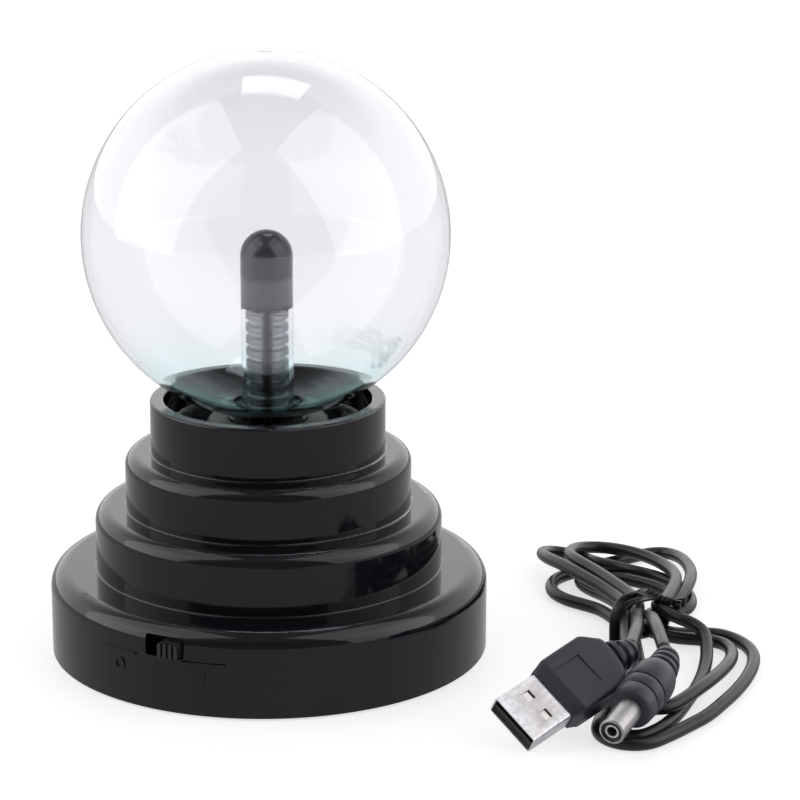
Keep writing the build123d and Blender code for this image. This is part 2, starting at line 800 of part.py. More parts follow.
# ---- USB plug of the lead ----
shell_width = 12.0
shell_thickness = 4.5
shell_sheet = 0.3
shell_length = 11.0
usb_plane = Plane(origin=usb_front, x_dir=usb_across, z_dir=usb_back)
inner_width = shell_width - 2 * shell_sheet
inner_thickness = shell_thickness - 2 * shell_sheet
tongue_thickness = 1.85
with BuildPart() as usb_shell:
    with BuildSketch(usb_plane):
        RectangleRounded(shell_width, shell_thickness, 0.6)
        RectangleRounded(inner_width, inner_thickness, 0.35, mode=Mode.SUBTRACT)
    extrude(amount=shell_length + 4)
    for face in (-1, 1):
        hole_plane = Plane(
            origin=usb_plane.from_local_coords(Vector(0, face * (shell_thickness / 2 - 1.0), 6.4)),
            x_dir=usb_across,
            z_dir=usb_plane.y_dir * face,
        )
        with BuildSketch(hole_plane):
            with GridLocations(5.2, 0, 2, 1):
                Rectangle(2.2, 2.0)
        extrude(amount=2, mode=Mode.SUBTRACT)
save(usb_shell, "usb_shell")

tongue_drop = -(inner_thickness - tongue_thickness) / 2 + 0.05
with BuildPart() as usb_tongue:
    with BuildSketch(usb_plane.offset(0.6)):
        with Locations((0, tongue_drop)):
            Rectangle(inner_width - 0.1, tongue_thickness)
    extrude(amount=shell_length + 3)
    with BuildSketch(usb_plane.offset(shell_length)):
        Rectangle(inner_width - 0.1, inner_thickness - 0.1)
    extrude(amount=3)
save(usb_tongue, "usb_tongue")

with BuildPart() as usb_contacts:
    contact_rise = tongue_drop + tongue_thickness / 2 + 0.1
    with BuildSketch(usb_plane.offset(1.6)):
        with Locations((0, contact_rise)):
            with GridLocations(2.25, 0, 4, 1):
                Rectangle(1.0, 0.15)
    extrude(amount=8)
save(usb_contacts, "usb_contacts")

body_width = 16.0
body_thickness = 8.0
usb_cord_start = Vector(75.8, -42.8, 12.9)
body_stations = [
    (shell_length, 14.6, 5.2, 1.0),
    (shell_length + 2.6, body_width, body_thickness, 1.2),
    (shell_length + 12.0, body_width, body_thickness, 1.2),
    (shell_length + 19.0, 8.6, 6.8, 2.6),
]
usb_relief_start = usb_front + usb_back * (shell_length + 18.4)
usb_relief_axis = usb_cord_start - usb_relief_start
with BuildPart() as usb_body:
    for front_station, back_station in zip(body_stations, body_stations[1:]):
        for distance, width, thickness, corner in (front_station, back_station):
            with BuildSketch(usb_plane.offset(distance)):
                RectangleRounded(width, thickness, corner)
        loft()
    with BuildSketch(usb_plane.offset(shell_length)):
        Rectangle(shell_width + 0.04, shell_thickness + 0.04)
    extrude(amount=4.05, mode=Mode.SUBTRACT)
    with BuildSketch(Plane(origin=usb_relief_start, z_dir=usb_relief_axis)):
        Circle(3.1)
    with BuildSketch(Plane(origin=usb_cord_start, z_dir=usb_relief_axis)):
        Circle(2.3)
    loft()
save(usb_body, "usb_body")

# ---- cord: two free ends and the two lobes of the tied hank ----
cord_radius = cord_diameter / 2
dc_route = [
    tuple(dc_cord_start),
    (83.5, -30.5, 12.2),
    (83.9, -19.0, 10.8),
    (84.9, -7.6, 7.2),
]
usb_route = [
    tuple(usb_cord_start),
    (78.3, -32.0, 12.4),
    (80.3, -20.5, 10.2),
    (81.2, -7.6, 6.2),
]


def bend_radii(points):
    """The largest tangent arc that each corner of a route leaves room for."""
    radii = []
    for before, corner, after in zip(points, points[1:], points[2:]):
        run_in = Vector(*corner) - Vector(*before)
        run_out = Vector(*after) - Vector(*corner)
        turn = radians(run_in.get_angle(run_out))
        shorter = min(run_in.length, run_out.length)
        radii.append(0.45 * shorter / (sin(turn / 2) / cos(turn / 2)))
    return radii


def cord_tube(points, name):
    radii = bend_radii(points)
    with BuildPart() as tube:
        with BuildLine() as route:
            FilletPolyline(*points, radius=radii)
        with BuildSketch(Plane(origin=points[0], z_dir=Vector(*points[1]) - Vector(*points[0]))):
            Circle(cord_radius)
        sweep(path=route.wire())
    length = route.wire().length
    expected = pi * cord_radius**2 * length
    print(name, "length", round(length, 1), "radii", [round(r, 1) for r in radii],
          "volume", round(tube.part.volume, 1), "of", round(expected, 1))
    save(tube, name)


cord_tube(dc_route, "dc_cord_end")
cord_tube(usb_route, "usb_cord_end")

hank_floor = 0.05
waist_low = 1.2
waist_high = 8.8
waist_middle = 83.6
waist_width = 10.6
upper_outline = [
    (78.5, 4.0), (70.0, 9.5), (65.0, 17.0), (63.5, 28.0), (65.0, 44.0), (70.0, 53.0), (80.0, 59.0),
    (92.0, 58.0), (101.0, 54.0), (104.0, 45.0), (103.0, 33.0), (99.5, 19.0), (98.0, 8.0), (89.0, 4.0),
]
lower_outline = [
    (78.5, -4.0), (89.0, -4.0), (98.5, 0.0), (104.0, -7.0), (108.0, -16.0), (106.5, -28.0), (100.5, -42.0),
    (92.5, -56.0), (84.0, -66.0), (77.0, -69.0), (69.5, -68.0), (66.8, -62.0), (69.0, -52.0), (75.0, -33.0),
    (78.0, -16.0),
]


def hank_lobe(outline, height, waist_end, name):
    """Closed solid of one lobe: a low slab and the thicker bundle that runs into the tie."""
    side = 1 if waist_end > 0 else -1
    with BuildPart() as lobe:
        with BuildSketch(Plane.XY.offset(hank_floor)):
            with BuildLine():
                Polyline(*outline, close=True)
            make_face()
            fillet(lobe_corners(outline), 3.0)
        extrude(amount=height)
        with BuildSketch(Plane.XY.offset(waist_low)):
            with Locations((waist_middle, waist_end / 2 + side * 0.03)):
                Rectangle(waist_width, abs(waist_end))
        extrude(amount=waist_high - waist_low)
    save(lobe, name)


def lobe_corners(outline):
    """The outline's corners in the current sketch, without the two beside the waist."""
    flat = [Vector(x, y) for x, y in outline if abs(y) > 4.5]
    return [v for v in vertices() if any((Vector(v.X, v.Y) - p).length < 0.01 for p in flat)]


hank_lobe(upper_outline, 6.2, 8.0, "upper_hank")
hank_lobe(lower_outline, 3.0, -8.0, "lower_hank")

tie_gap = 0.1
tie_thickness = 0.9
tie_high = waist_high - waist_low + 2 * tie_gap
tie_centre = (waist_low + waist_high) / 2
with BuildPart() as lead_tie:
    with BuildSketch(Plane.XZ.offset(-1.2)):
        with Locations((waist_middle, tie_centre)):
            RectangleRounded(
                waist_width + 2 * tie_gap + 2 * tie_thickness, tie_high + 2 * tie_thickness, tie_thickness
            )
            Rectangle(waist_width + 2 * tie_gap, tie_high, mode=Mode.SUBTRACT)
    extrude(amount=2.4)
    twist_start = (waist_middle + waist_width / 2 + 0.5, 0, 7.2)
    twist_end = (waist_middle + waist_width / 2 + 6.5, 0.4, 7.8)
    with BuildSketch(Plane(origin=twist_start, z_dir=Vector(*twist_end) - Vector(*twist_start))):
        Circle(0.8)
    extrude(amount=6.2)
save(lead_tie, "lead_tie")
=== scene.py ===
# Plasma ball on a stepped base, with its tied power lead
import bmesh
import bpy
import json
from math import cos, pi, radians, sin
from mathutils import Matrix, Vector

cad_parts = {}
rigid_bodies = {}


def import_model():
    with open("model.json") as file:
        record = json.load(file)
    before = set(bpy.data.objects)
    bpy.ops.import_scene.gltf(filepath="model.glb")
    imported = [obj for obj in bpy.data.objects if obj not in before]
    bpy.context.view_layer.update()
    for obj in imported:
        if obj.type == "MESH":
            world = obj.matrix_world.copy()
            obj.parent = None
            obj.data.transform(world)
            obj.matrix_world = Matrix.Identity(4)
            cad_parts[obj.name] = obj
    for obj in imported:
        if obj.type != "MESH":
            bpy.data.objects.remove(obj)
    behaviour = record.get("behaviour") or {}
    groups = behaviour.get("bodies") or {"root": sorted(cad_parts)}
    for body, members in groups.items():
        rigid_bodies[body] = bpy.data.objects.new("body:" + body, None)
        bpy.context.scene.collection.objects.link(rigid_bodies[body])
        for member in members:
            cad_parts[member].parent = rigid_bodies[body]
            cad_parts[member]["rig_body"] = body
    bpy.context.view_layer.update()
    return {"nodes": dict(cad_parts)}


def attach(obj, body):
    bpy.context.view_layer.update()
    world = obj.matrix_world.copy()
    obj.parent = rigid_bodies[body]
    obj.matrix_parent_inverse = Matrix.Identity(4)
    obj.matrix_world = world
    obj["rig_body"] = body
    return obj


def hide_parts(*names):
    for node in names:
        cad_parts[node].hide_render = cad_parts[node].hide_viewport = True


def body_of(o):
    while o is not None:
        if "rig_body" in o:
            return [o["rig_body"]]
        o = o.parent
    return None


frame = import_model()
nodes = frame["nodes"]
scene = bpy.context.scene
scene.view_settings.view_transform = "Standard"
scene.view_settings.look = "None"
print("loaded", len(nodes), "nodes")

camera = {
    "place": (0.0, -0.6305, 0.2331),
    "down": 15.68,      # degrees below the horizon
    "turn": 2.64,       # degrees towards +x
    "roll": 0.14,
    "lens": 133.92,
}


def addCamera(spec):
    down, turn, roll = radians(spec["down"]), radians(spec["turn"]), radians(spec["roll"])
    ahead = Vector((sin(turn) * cos(down), cos(turn) * cos(down), -sin(down)))
    side = Vector((cos(turn), -sin(turn), 0))
    over = side.cross(ahead)
    sideRolled = cos(roll) * side + sin(roll) * over
    overRolled = -sin(roll) * side + cos(roll) * over
    data = bpy.data.cameras.new("camera")
    data.lens = spec["lens"]
    data.sensor_width = 36.0
    data.clip_start, data.clip_end = 0.02, 50.0
    made = bpy.data.objects.new("camera", data)
    axes = Matrix((sideRolled, overRolled, -ahead)).transposed().to_4x4()
    made.matrix_world = Matrix.Translation(spec["place"]) @ axes
    scene.collection.objects.link(made)
    scene.camera = made


addCamera(camera)

lead = {
    "diameter": 0.0029,
    "length": 0.986,
    "segments": 8,      # steps between two points of the route
    "sides": 24,        # round the tube
}
# the lead from the round plug to the USB plug: four turns above the tie and three below it
leadRoute = [
    # out of the round plug
    (0.0832, -0.0435, 0.0123), (0.0835, -0.0305, 0.0122), (0.0839, -0.0190, 0.0108), (0.0848, -0.0085, 0.0076),
    # first turn above the tie
    (0.0845, 0.0000, 0.0046), (0.0918, 0.0083, 0.0043), (0.0950, 0.0149, 0.0045), (0.0979, 0.0228, 0.0045),
    (0.1000, 0.0340, 0.0036), (0.0996, 0.0466, 0.0025), (0.0968, 0.0532, 0.0017), (0.0927, 0.0538, 0.0015),
    (0.0884, 0.0511, 0.0015), (0.0835, 0.0479, 0.0015), (0.0787, 0.0446, 0.0015), (0.0739, 0.0407, 0.0015),
    # back towards the tie
    (0.0694, 0.0374, 0.0015), (0.0665, 0.0329, 0.0015), (0.0659, 0.0264, 0.0015), (0.0685, 0.0207, 0.0015),
    (0.0729, 0.0161, 0.0017), (0.0767, 0.0118, 0.0018),
    # first turn below, left side
    (0.0802, 0.0000, 0.0018), (0.0790, -0.0100, 0.0016), (0.0766, -0.0220, 0.0015), (0.0744, -0.0340, 0.0015),
    (0.0716, -0.0450, 0.0015), (0.0684, -0.0540, 0.0015), (0.0669, -0.0615, 0.0015), (0.0703, -0.0670, 0.0015),
    (0.0765, -0.0680, 0.0015),
    # outermost run on the right
    (0.0822, -0.0628, 0.0015), (0.0872, -0.0573, 0.0015), (0.0912, -0.0528, 0.0015), (0.0952, -0.0462, 0.0015),
    (0.0992, -0.0392, 0.0015), (0.1027, -0.0317, 0.0015), (0.1055, -0.0237, 0.0015), (0.1068, -0.0162, 0.0015),
    (0.1054, -0.0092, 0.0015), (0.1012, -0.0036, 0.0015), (0.0956, -0.0034, 0.0015), (0.0904, -0.0032, 0.0015),
    # second turn above
    (0.0869, 0.0008, 0.0017), (0.0886, 0.0066, 0.0016), (0.0928, 0.0098, 0.0016), (0.0967, 0.0135, 0.0016),
    (0.0980, 0.0198, 0.0016), (0.0971, 0.0271, 0.0016), (0.0944, 0.0329, 0.0016), (0.0905, 0.0371, 0.0016),
    (0.0860, 0.0383, 0.0024), (0.0814, 0.0372, 0.0039), (0.0776, 0.0397, 0.0042), (0.0756, 0.0460, 0.0030),
    (0.0726, 0.0510, 0.0025), (0.0684, 0.0516, 0.0030),
    # top run back
    (0.0653, 0.0472, 0.0043), (0.0656, 0.0388, 0.0058), (0.0694, 0.0302, 0.0066), (0.0748, 0.0195, 0.0064),
    (0.0787, 0.0111, 0.0062), (0.0809, 0.0024, 0.0066),
    # second turn below
    (0.0797, 0.0000, 0.0065), (0.0793, -0.0070, 0.0056), (0.0786, -0.0150, 0.0043), (0.0784, -0.0250, 0.0041),
    (0.0779, -0.0340, 0.0041), (0.0760, -0.0420, 0.0042), (0.0752, -0.0485, 0.0042),
    # middle run on the right
    (0.0775, -0.0545, 0.0041), (0.0822, -0.0553, 0.0043), (0.0861, -0.0511, 0.0044), (0.0900, -0.0454, 0.0045),
    (0.0941, -0.0387, 0.0042), (0.0985, -0.0291, 0.0032), (0.1012, -0.0210, 0.0022), (0.1022, -0.0139, 0.0016),
    (0.1007, -0.0092, 0.0015), (0.0962, -0.0069, 0.0015), (0.0902, -0.0057, 0.0015),
    # third turn above, the smallest
    (0.0832, 0.0000, 0.0018), (0.0917, 0.0169, 0.0016), (0.0941, 0.0215, 0.0016), (0.0929, 0.0258, 0.0016),
    (0.0896, 0.0300, 0.0016), (0.0857, 0.0333, 0.0016), (0.0816, 0.0363, 0.0016), (0.0786, 0.0386, 0.0016),
    (0.0759, 0.0390, 0.0016),
    # back under the others
    (0.0737, 0.0364, 0.0016), (0.0733, 0.0314, 0.0016), (0.0751, 0.0267, 0.0017), (0.0777, 0.0211, 0.0022),
    (0.0799, 0.0123, 0.0034),
    # third turn below
    (0.0814, 0.0000, 0.0045), (0.0809, -0.0090, 0.0032), (0.0807, -0.0200, 0.0017), (0.0800, -0.0320, 0.0015),
    (0.0778, -0.0425, 0.0015), (0.0740, -0.0500, 0.0015), (0.0703, -0.0565, 0.0015), (0.0709, -0.0618, 0.0015),
    (0.0750, -0.0644, 0.0015),
    # inner run, over the others at the tie
    (0.0796, -0.0606, 0.0015), (0.0830, -0.0556, 0.0015), (0.0857, -0.0502, 0.0015), (0.0887, -0.0427, 0.0015),
    (0.0915, -0.0358, 0.0015), (0.0939, -0.0282, 0.0017), (0.0956, -0.0211, 0.0024), (0.0964, -0.0152, 0.0034),
    (0.0966, -0.0105, 0.0044), (0.0945, -0.0079, 0.0056), (0.0907, -0.0062, 0.0066),
    # fourth turn above
    (0.0865, 0.0000, 0.0073), (0.0890, 0.0024, 0.0069), (0.0919, 0.0110, 0.0066), (0.0941, 0.0191, 0.0060),
    (0.0951, 0.0268, 0.0053), (0.0939, 0.0343, 0.0048), (0.0916, 0.0399, 0.0046), (0.0883, 0.0443, 0.0046),
    (0.0845, 0.0474, 0.0046), (0.0806, 0.0492, 0.0046), (0.0769, 0.0490, 0.0048),
    # highest run back
    (0.0732, 0.0459, 0.0056), (0.0709, 0.0381, 0.0068), (0.0723, 0.0317, 0.0074), (0.0758, 0.0243, 0.0074),
    (0.0791, 0.0156, 0.0074), (0.0821, 0.0071, 0.0074),
    # to the USB plug
    (0.0832, 0.0000, 0.0075), (0.0816, -0.0085, 0.0072), (0.0803, -0.0205, 0.0102), (0.0783, -0.0320, 0.0124),
    (0.0758, -0.0428, 0.0129),
]


def routeLine(points, segments):
    # the route's own NURBS line, as plain points
    curve = bpy.data.curves.new("routeLine", "CURVE")
    curve.dimensions = "3D"
    spline = curve.splines.new("NURBS")
    spline.points.add(len(points) - 1)
    for made, place in zip(spline.points, points):
        made.co = (*place, 1.0)
    spline.order_u = 3
    spline.use_endpoint_u = True
    spline.resolution_u = segments
    holder = bpy.data.objects.new("routeLine", curve)
    drawn = bpy.data.meshes.new_from_object(holder)
    line = [v.co.copy() for v in drawn.vertices]
    bpy.data.objects.remove(holder)
    bpy.data.curves.remove(curve)
    bpy.data.meshes.remove(drawn)
    return line


def tubeWalls(rings, around):
    # quads between one ring of points and the next
    walls = []
    for step in range(rings - 1):
        for k in range(around):
            m = (k + 1) % around
            walls.append((
                step * around + k, step * around + m, (step + 1) * around + m, (step + 1) * around + k,
            ))
    return walls


def addLead(spec, line):
    sides = spec["sides"]
    radius = spec["diameter"] / 2
    verts = []
    out = Vector((0, 0, 1))
    for step, place in enumerate(line):
        way = (line[min(step + 1, len(line) - 1)] - line[max(step - 1, 0)]).normalized()
        out = (out - way * out.dot(way)).normalized()
        over = way.cross(out)
        for k in range(sides):
            turn = 2 * pi * k / sides
            verts.append(place + (out * cos(turn) + over * sin(turn)) * radius)
    faces = tubeWalls(len(line), sides)
    faces.append(tuple(range(sides))[::-1])
    faces.append(tuple((len(line) - 1) * sides + k for k in range(sides)))
    mesh = bpy.data.meshes.new("powerLead")
    mesh.from_pydata([tuple(v) for v in verts], [], faces)
    mesh.polygons.foreach_set("use_smooth", [True] * len(faces))
    made = bpy.data.objects.new("powerLead", mesh)
    scene.collection.objects.link(made)
    return made


leadLine = routeLine(leadRoute, lead["segments"])
powerLead = addLead(lead, leadLine)
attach(powerLead, "power_lead")
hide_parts("dc_cord_end", "usb_cord_end", "upper_hank", "lower_hank")
print("lead laid")


def newGroup(name, inputs, outputs):
    group = bpy.data.node_groups.new(name, "ShaderNodeTree")
    for label, kind, value in inputs:
        socket = group.interface.new_socket(label, in_out="INPUT", socket_type=kind)
        socket.default_value = value
    for label, kind in outputs:
        group.interface.new_socket(label, in_out="OUTPUT", socket_type=kind)
    return group, group.nodes.new("NodeGroupInput"), group.nodes.new("NodeGroupOutput")


def addNode(tree, kind, sockets=(), **values):
    made = tree.nodes.new(kind)
    for label, value in values.items():
        setattr(made, label, value)
    for label, value in dict(sockets).items():
        made.inputs[label].default_value = value
    return made


def wire(tree, source, output, target, socket):
    tree.links.new(source.outputs[output], target.inputs[socket])


def mouldedSurface():
    # slow tone changes, fine grain and a few handling marks of a moulded or drawn part
    group, entry, leave = newGroup("mouldedSurface", [
        ("Color", "NodeSocketColor", (0.5, 0.5, 0.5, 1)),
        ("Second Color", "NodeSocketColor", (0.4, 0.4, 0.4, 1)),
        ("Patch Scale", "NodeSocketFloat", 60.0),
        ("Grain Scale", "NodeSocketFloat", 1500.0),
        ("Roughness", "NodeSocketFloat", 0.4),
        ("Spread", "NodeSocketFloat", 0.1),
        ("Marks", "NodeSocketFloat", 0.2),
    ], [("Color", "NodeSocketColor"), ("Roughness", "NodeSocketFloat"), ("Height", "NodeSocketFloat")])
    place = addNode(group, "ShaderNodeTexCoord")
    patches = addNode(group, "ShaderNodeTexNoise", {"Detail": 4.0, "Roughness": 0.55})
    grain = addNode(group, "ShaderNodeTexNoise", {"Detail": 3.0, "Roughness": 0.6})
    scuffs = addNode(group, "ShaderNodeTexNoise", {"Detail": 6.0, "Roughness": 0.7, "Distortion": 1.6})
    stretch = addNode(group, "ShaderNodeMapping", {"Scale": (1.0, 1.0, 5.0)})
    for texture, scale in ((patches, "Patch Scale"), (grain, "Grain Scale")):
        wire(group, place, "Object", texture, "Vector")
        wire(group, entry, scale, texture, "Scale")
    wire(group, place, "Object", stretch, "Vector")
    wire(group, stretch, "Vector", scuffs, "Vector")
    wire(group, entry, "Patch Scale", scuffs, "Scale")
    tone = addNode(group, "ShaderNodeMapRange", {"From Min": 0.35, "From Max": 0.68})
    wire(group, patches, "Fac", tone, "Value")
    colour = addNode(group, "ShaderNodeMix", data_type="RGBA")
    wire(group, tone, "Result", colour, 0)
    wire(group, entry, "Color", colour, 6)
    wire(group, entry, "Second Color", colour, 7)
    mark = addNode(group, "ShaderNodeMapRange", {"From Min": 0.56, "From Max": 0.66})
    wire(group, scuffs, "Fac", mark, "Value")
    marked = addNode(group, "ShaderNodeMath", operation="MULTIPLY")
    wire(group, mark, "Result", marked, 0)
    wire(group, entry, "Marks", marked, 1)
    swing = addNode(group, "ShaderNodeMath", {1: 0.5}, operation="SUBTRACT")
    wire(group, patches, "Fac", swing, 0)
    spread = addNode(group, "ShaderNodeMath", operation="MULTIPLY_ADD")
    wire(group, swing, "Value", spread, 0)
    wire(group, entry, "Spread", spread, 1)
    wire(group, entry, "Roughness", spread, 2)
    rough = addNode(group, "ShaderNodeMath", operation="ADD", use_clamp=True)
    wire(group, spread, "Value", rough, 0)
    wire(group, marked, "Value", rough, 1)
    wire(group, colour, 2, leave, "Color")
    wire(group, rough, "Value", leave, "Roughness")
    wire(group, grain, "Fac", leave, "Height")
    return group


def wornEdges():
    # lighter, rubbed colour where a mesh is convex
    group, entry, leave = newGroup("wornEdges", [
        ("Color", "NodeSocketColor", (0.5, 0.5, 0.5, 1)),
        ("Edge Color", "NodeSocketColor", (0.6, 0.6, 0.6, 1)),
        ("Amount", "NodeSocketFloat", 0.5),
    ], [("Color", "NodeSocketColor")])
    shape = addNode(group, "ShaderNodeNewGeometry")
    place = addNode(group, "ShaderNodeTexCoord")
    breakup = addNode(group, "ShaderNodeTexNoise", {"Scale": 900.0, "Detail": 3.0})
    wire(group, place, "Object", breakup, "Vector")
    edge = addNode(group, "ShaderNodeMapRange", {"From Min": 0.52, "From Max": 0.6})
    wire(group, shape, "Pointiness", edge, "Value")
    rubbed = addNode(group, "ShaderNodeMath", operation="MULTIPLY")
    wire(group, edge, "Result", rubbed, 0)
    wire(group, breakup, "Fac", rubbed, 1)
    share = addNode(group, "ShaderNodeMath", operation="MULTIPLY", use_clamp=True)
    wire(group, rubbed, "Value", share, 0)
    wire(group, entry, "Amount", share, 1)
    colour = addNode(group, "ShaderNodeMix", data_type="RGBA")
    wire(group, share, "Value", colour, 0)
    wire(group, entry, "Color", colour, 6)
    wire(group, entry, "Edge Color", colour, 7)
    wire(group, colour, 2, leave, "Color")
    return group


mouldedGroup = mouldedSurface()
wornGroup = wornEdges()

# one entry for each finish: its colours, how coarse its patches and grain are, how rough it is, how deep
# its grain, and what else the shader needs
finishes = {
    "gloss_black": {
        "colour": (0.0035, 0.0035, 0.0052), "second": (0.0048, 0.0048, 0.0066), "patch": 40, "grain": 260,
        "rough": 0.07, "spread": 0.05, "marks": 0.05, "bump": 0.018, "depth": 0.0006, "ior": 1.42,
    },
    "matte_black": {
        "colour": (0.006, 0.006, 0.007), "second": (0.010, 0.010, 0.011), "patch": 90, "grain": 2600,
        "rough": 0.42, "spread": 0.12, "marks": 0.1, "bump": 0.25, "depth": 0.00006,
    },
    "pad_rubber": {
        "colour": (0.022, 0.022, 0.022), "second": (0.035, 0.034, 0.033), "patch": 300, "grain": 4000,
        "rough": 0.78, "spread": 0.2, "marks": 0.1, "bump": 0.4, "depth": 0.00008,
    },
    "screw_steel": {
        "colour": (0.42, 0.42, 0.43), "second": (0.34, 0.34, 0.35), "patch": 700, "grain": 5000,
        "rough": 0.3, "spread": 0.2, "marks": 0.1, "bump": 0.2, "depth": 0.00003, "metal": 1.0,
        "edge": (0.75, 0.75, 0.76),
    },
    "board_green": {
        "colour": (0.012, 0.11, 0.035), "second": (0.018, 0.15, 0.05), "patch": 160, "grain": 1800,
        "rough": 0.3, "spread": 0.1, "marks": 0.05, "bump": 0.2, "depth": 0.00004, "coat": 0.4,
    },
    "ferrite": {
        "colour": (0.035, 0.034, 0.035), "second": (0.055, 0.053, 0.052), "patch": 500, "grain": 6000,
        "rough": 0.6, "spread": 0.2, "marks": 0.1, "bump": 0.3, "depth": 0.00005,
        "edge": (0.14, 0.13, 0.13),
    },
    "bobbin_plastic": {
        "colour": (0.62, 0.58, 0.48), "second": (0.55, 0.51, 0.42), "patch": 120, "grain": 2500,
        "rough": 0.45, "spread": 0.1, "marks": 0.1, "bump": 0.2, "depth": 0.00004,
    },
    "copper_winding": {
        "colour": (0.55, 0.2, 0.08), "second": (0.4, 0.13, 0.05), "patch": 300, "grain": 9000,
        "rough": 0.3, "spread": 0.1, "marks": 0.05, "bump": 0.6, "depth": 0.00008, "metal": 0.9,
    },
    "aluminium_sink": {
        "colour": (0.6, 0.6, 0.62), "second": (0.5, 0.5, 0.52), "patch": 200, "grain": 5000,
        "rough": 0.38, "spread": 0.15, "marks": 0.1, "bump": 0.2, "depth": 0.00003, "metal": 1.0,
        "edge": (0.8, 0.8, 0.82),
    },
    "epoxy_black": {
        "colour": (0.02, 0.02, 0.021), "second": (0.03, 0.03, 0.031), "patch": 400, "grain": 4500,
        "rough": 0.55, "spread": 0.15, "marks": 0.1, "bump": 0.3, "depth": 0.00005,
    },
    "capacitor_sleeve": {
        "colour": (0.015, 0.03, 0.12), "second": (0.02, 0.04, 0.15), "patch": 150, "grain": 2000,
        "rough": 0.25, "spread": 0.1, "marks": 0.05, "bump": 0.1, "depth": 0.00004, "coat": 0.4,
    },
    "film_red": {
        "colour": (0.35, 0.04, 0.02), "second": (0.28, 0.03, 0.015), "patch": 150, "grain": 1500,
        "rough": 0.3, "spread": 0.1, "marks": 0.05, "bump": 0.2, "depth": 0.00006, "coat": 0.3,
    },
    "resistor_beige": {
        "colour": (0.55, 0.42, 0.26), "second": (0.48, 0.36, 0.21), "patch": 400, "grain": 4000,
        "rough": 0.45, "spread": 0.1, "marks": 0.05, "bump": 0.3, "depth": 0.00005,
    },
    "contact_nickel": {
        "colour": (0.6, 0.58, 0.54), "second": (0.5, 0.48, 0.45), "patch": 350, "grain": 5000,
        "rough": 0.25, "spread": 0.15, "marks": 0.12, "bump": 0.15, "depth": 0.00003, "metal": 1.0,
    },
    "contact_gold": {
        "colour": (0.85, 0.6, 0.25), "second": (0.75, 0.5, 0.2), "patch": 700, "grain": 5000,
        "rough": 0.22, "spread": 0.1, "marks": 0.1, "bump": 0.1, "depth": 0.00002, "metal": 1.0,
    },
    "switch_brown": {
        "colour": (0.16, 0.07, 0.03), "second": (0.13, 0.055, 0.025), "patch": 200, "grain": 3000,
        "rough": 0.45, "spread": 0.1, "marks": 0.1, "bump": 0.3, "depth": 0.00005,
    },
    "cell_jacket": {
        "colour": (0.05, 0.12, 0.2), "second": (0.04, 0.09, 0.16), "patch": 60, "grain": 1500,
        "rough": 0.28, "spread": 0.1, "marks": 0.1, "bump": 0.1, "depth": 0.00004, "coat": 0.5,
    },
    "wire_red": {
        "colour": (0.4, 0.03, 0.02), "second": (0.3, 0.02, 0.015), "patch": 200, "grain": 2500,
        "rough": 0.4, "spread": 0.1, "marks": 0.05, "bump": 0.2, "depth": 0.00004,
    },
    "graphite": {
        "colour": (0.02, 0.02, 0.022), "second": (0.05, 0.05, 0.055), "patch": 900, "grain": 3500,
        "rough": 0.5, "spread": 0.3, "marks": 0.2, "bump": 0.8, "depth": 0.0002, "metal": 0.3,
    },
    "seal_silicone": {
        "colour": (0.016, 0.016, 0.018), "second": (0.024, 0.024, 0.026), "patch": 200, "grain": 2000,
        "rough": 0.4, "spread": 0.1, "marks": 0.1, "bump": 0.2, "depth": 0.00006,
    },
    "plug_metal": {
        "colour": (0.37, 0.352, 0.348), "second": (0.335, 0.32, 0.315), "patch": 240, "grain": 3200,
        "rough": 0.34, "spread": 0.2, "marks": 0.12, "bump": 0.12, "depth": 0.00004, "metal": 1.0,
        "edge": (0.82, 0.82, 0.83),
    },
    "cord_black": {
        "colour": (0.008, 0.008, 0.010), "second": (0.013, 0.013, 0.015), "patch": 120, "grain": 2600,
        "rough": 0.33, "spread": 0.12, "marks": 0.08, "bump": 0.3, "depth": 0.00005, "ior": 1.4,
    },
    "plug_vinyl": {
        "colour": (0.019, 0.020, 0.030), "second": (0.026, 0.027, 0.038), "patch": 110, "grain": 3200,
        "rough": 0.42, "spread": 0.12, "marks": 0.08, "bump": 0.35, "depth": 0.00006, "ior": 1.42,
    },
    "tie_plastic": {
        "colour": (0.012, 0.012, 0.014), "second": (0.02, 0.02, 0.022), "patch": 200, "grain": 2200,
        "rough": 0.34, "spread": 0.1, "marks": 0.08, "bump": 0.2, "depth": 0.00005,
    },
}


shared = {"ior": 1.5, "coatRough": 0.04, "edgeWear": 1.2}      # for every finish that doesn't say otherwise


def opaque(*colour):
    return (*colour, 1.0)


